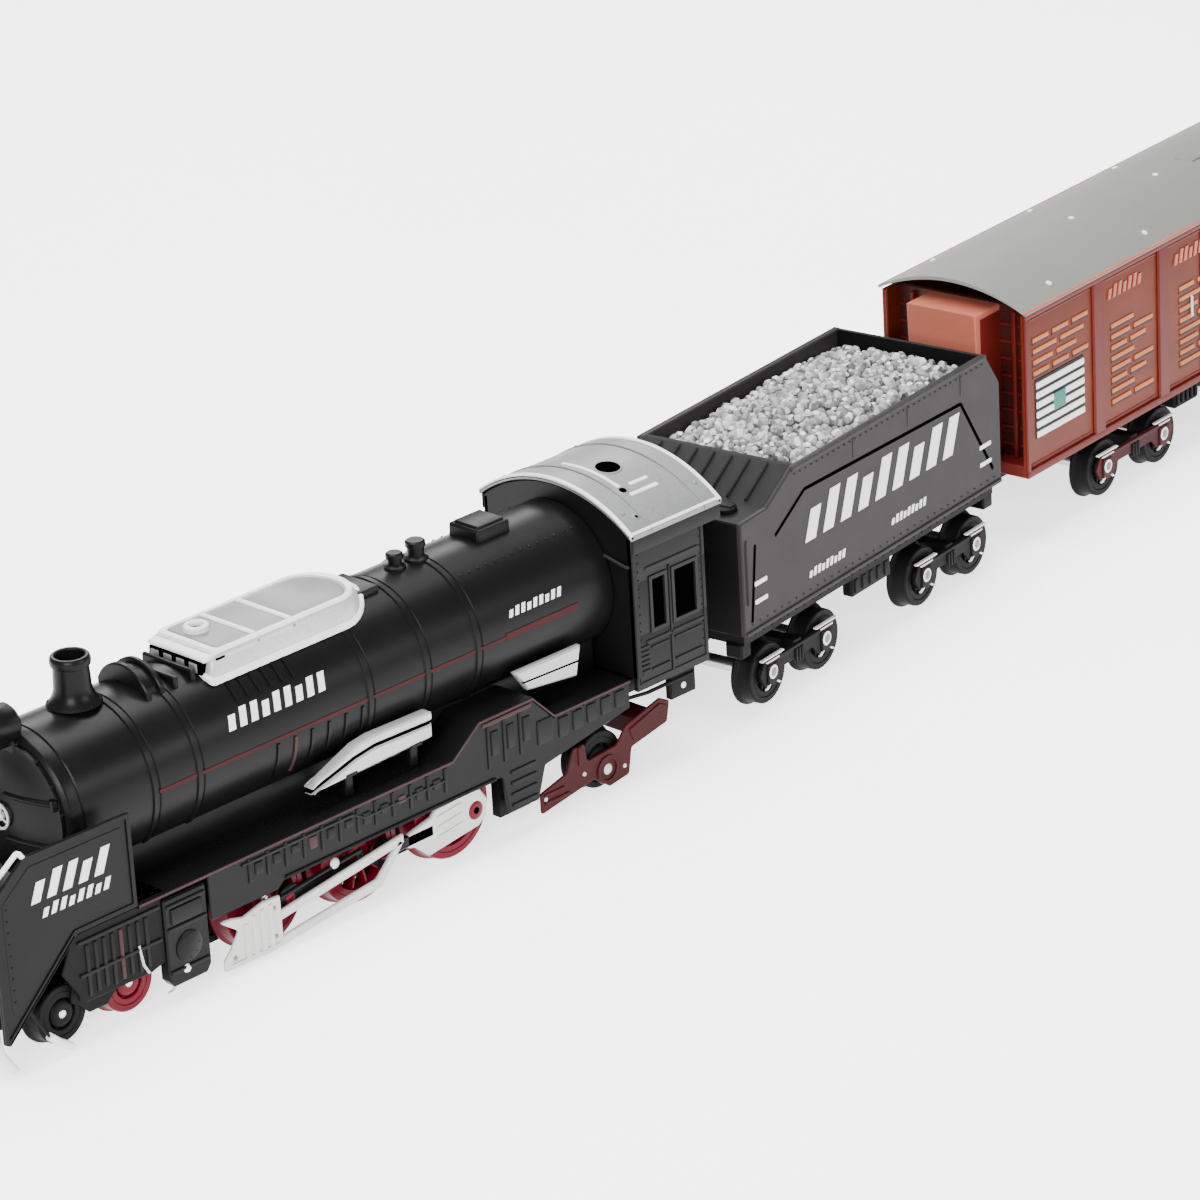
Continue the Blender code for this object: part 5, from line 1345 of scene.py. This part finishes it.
def coupler_trim():
    """Ribs on the drawbar and on the coupler link."""
    for node, pins in (("drawbar", ("drawbar_front_pin", "drawbar_rear_pin")),
                       ("coupler_link", ("link_front_pin", "link_rear_pin"))):
        shape = Shape("frame_black")
        length = (PIVOTS[pins[1]] - PIVOTS[pins[0]]).to_2d().length / MM
        shape.box((3.4, length - 3.4), (-0.5, 0.5), (11.9, 12.4), 0.15)
        for y in (-2, 2):
            shape.box((2.6, length - 2.6), about(y, 0.25), (11.9, 12.3), 0.1)
        shape.make(node + "_trim", node, vehicle_frame(pins[0], 0, pins[1]))


def car_underframe_trim():
    """Boxes, tanks, pipes and steps under the tender and the boxcar, between their bogies."""
    shape = Shape("frame_black")
    for _ in shape.both_sides():
        shape.box((44, 60), (15.6, 18.4), (13, 17.8), 0.5)
        shape.row(5, (3, 0, 0), (45, 46.6), (18.2, 18.7), (13.8, 17))
        for x in ((0.8, 4.6), (99, 103)):
            shape.box(x, (14, 18.4), (14.4, 17.8), 0.4)
        shape.studs((6, 18.55, 18.8), (98, 18.55, 18.8), 30, 0.35, 0.3)
    shape.make("tender_chassis_trim", "tender_chassis", TENDER)
    shape = Shape("frame_black")
    shape.lathe([(70.4, 2.6), (71, 3.6), (80.4, 3.6), (81, 2.6)], (0, 12.6, 12.4), 28, "x")
    shape.box((70.4, 81), (-15, -8.6), (9.6, 15.8), 0.5)
    shape.row(5, (2, 0, 0), (71, 72.2), (-15.5, -14.8), (10.4, 15))
    for _ in shape.both_sides():
        shape.tube([(69.8, 6, 13.4), (81.6, 6, 13.4)], 0.4)
        shape.row(2, (7.3, 0, 0), (71.6, 72.5), (7.6, 15), (15.2, 16.4))
    shape.make("boxcar_chassis_trim", "boxcar_chassis", BOXCAR)


def finish_kept_nodes():
    """The CAD pieces that are shown as they are take their slot's look, with their hard edges eased."""
    for node in ("loco_chassis", "baseplate", "front_coupler", "axle_gear", "compound_gear", "motor_pinion",
                 "drawbar", "coupler_link", "tender_chassis", "boxcar_chassis"):
        piece = frame["nodes"][node]
        piece.data.materials.clear()
        piece.data.materials.append(LOOKS[SLOT_OF[node]])
        eased = piece.modifiers.new("eased_edges", "BEVEL")
        eased.width = 0.12 * MM
        eased.segments = 2
        eased.limit_method = "ANGLE"
        eased.angle_limit = math.radians(40)


# ---------------------------------------------------------------- studio


def floor():
    """A pale floor that reaches far behind the train."""
    paint = Paint("studio_floor")
    tint = paint.blend(paint.ramp(paint.noise(6), 0.3, 0.7), (0.86, 0.86, 0.86), (0.90, 0.90, 0.90))
    paint.shade(Base_Color=tint, Roughness=0.8, Specular_IOR_Level=0.1, Emission_Color=(1, 1, 1),
                Emission_Strength=1.9)
    bpy.ops.mesh.primitive_plane_add(size=12, location=(0, 0, -0.0002))
    ground = bpy.context.object
    ground.name = "studio_floor"
    ground.data.materials.append(paint.made)


def soft_light(name, place, size, watts):
    """A soft box that looks at the middle of the train."""
    data = bpy.data.lights.new(name, "AREA")
    data.shape = "RECTANGLE"
    data.size, data.size_y = size
    data.energy = watts
    light = bpy.data.objects.new(name, data)
    bpy.context.scene.collection.objects.link(light)
    light.location = place
    light.rotation_euler = (Vector((0, 0, 0.03)) - Vector(place)).to_track_quat("-Z", "Y").to_euler()


def studio_lights():
    """Soft boxes above, at the camera's left and behind, with a bright even surround."""
    soft_light("overhead_box", (0, 0.10, 0.95), (1.1, 0.6), 30)
    soft_light("front_left_box", (-0.95, -0.55, 0.50), (0.5, 0.4), 18)
    soft_light("near_box", (0.25, -1, 0.40), (0.7, 0.25), 7)
    soft_light("rear_box", (0.5, 0.9, 0.7), (0.8, 0.4), 10)
    world = bpy.context.scene.world or bpy.data.worlds.new("studio")
    bpy.context.scene.world = world
    world.use_nodes = True
    background = world.node_tree.nodes["Background"]
    background.inputs["Color"].default_value = (1, 1, 1, 1)
    background.inputs["Strength"].default_value = 0.30


def camera():
    """The camera at the photo's angle, from its fitted place in the locomotive's frame."""
    azimuth, elevation, roll = [math.radians(degrees) for degrees in (-44.349, 22.654, -3.333)]
    target = (178.43, -13.46, 40)
    distance = 1130.72
    data = bpy.data.cameras.new("photo_angle")
    data.lens = 161.59
    data.sensor_width = 36
    data.clip_start = 0.05
    data.clip_end = 20
    seen_from = bpy.data.objects.new("photo_angle", data)
    bpy.context.scene.collection.objects.link(seen_from)
    turn = Matrix.Rotation(azimuth, 4, "Z") @ Matrix.Rotation(math.pi / 2 - elevation, 4, "X")
    placed = LOCO @ Matrix.Translation(target) @ turn @ Matrix.Rotation(roll, 4, "Z")
    placed = placed @ Matrix.Translation((0, 0, distance))
    seen_from.matrix_world = Matrix.LocRotScale(placed.to_translation(), placed.to_quaternion(), None)
    bpy.context.scene.camera = seen_from


# ---------------------------------------------------------------- everything


# The functions that draw one node's piece each, with the piece's look and its vehicle.
BODYWORK = (
    (boiler_shell, "black_plastic", LOCO),
    (smokebox_door, "black_plastic", LOCO),
    (headlamp_lens, "clear_lens", LOCO),
    (chimney, "black_plastic", LOCO),
    (dome_cover, "white_print", LOCO),
    (running_board, "black_plastic", LOCO),
    (cab_body, "black_plastic", LOCO),
    (cab_roof, "white_print", LOCO),
    (front_beam, "frame_black", LOCO),
)
PAIRED = (
    (air_tank, "black_plastic"),
    (deflector, "black_plastic"),
    (cylinder, "black_plastic"),
    (crosshead, "rod_silver"),
    (coupling_rod, "rod_silver"),
)
TRUCKS = (
    (lead_bogie_frame, "frame_black", LOCO),
    (trailing_truck_frame, "pinstripe", LOCO),
)
CARS = (
    (tender_body, "frame_black", TENDER),
    (coal_load, "coal_grey", TENDER),
    (boxcar_body, "boxcar_post", BOXCAR),
    (boxcar_roof, "boxcar_roof_grey", BOXCAR),
)
INNER_PARTS = (
    (motor, "motor_steel", LOCO),
    (circuit_board, "rod_silver", LOCO),
    (speaker, "frame_black", LOCO),
    (power_switch, "red_plastic", LOCO),
    (battery_cover, "frame_black", LOCO),
)


def draw_all(drawings):
    """Each piece stands for the node that its function is named after."""
    for draw, look, vehicle in drawings:
        shape = Shape(look)
        draw(shape)
        shape.stand_for(draw.__name__, vehicle)


def main():
    """Every piece of the train, and the studio round it."""
    draw_all(BODYWORK)
    for side, label in SIDES:
        for draw, look in PAIRED:
            shape = Shape(look, side)
            draw(shape)
            shape.stand_for(f"{draw.__name__}_{label}")
    loco_wheels()
    draw_all(TRUCKS)
    for k, label in enumerate(("front", "rear")):
        car_bogie(TENDER, "tender", label, 1 + 2 * k, TENDER_BOGIES[k], TENDER_HALF_BASE)
        car_bogie(BOXCAR, "boxcar", label, 1 + 2 * k, BOXCAR_BOGIES[k], BOXCAR_HALF_BASE)
    draw_all(CARS)
    battery_cells()
    draw_all(INNER_PARTS)
    loco_underframe_trim()
    coupler_trim()
    car_underframe_trim()
    finish_kept_nodes()
    floor()
    studio_lights()
    camera()


main()
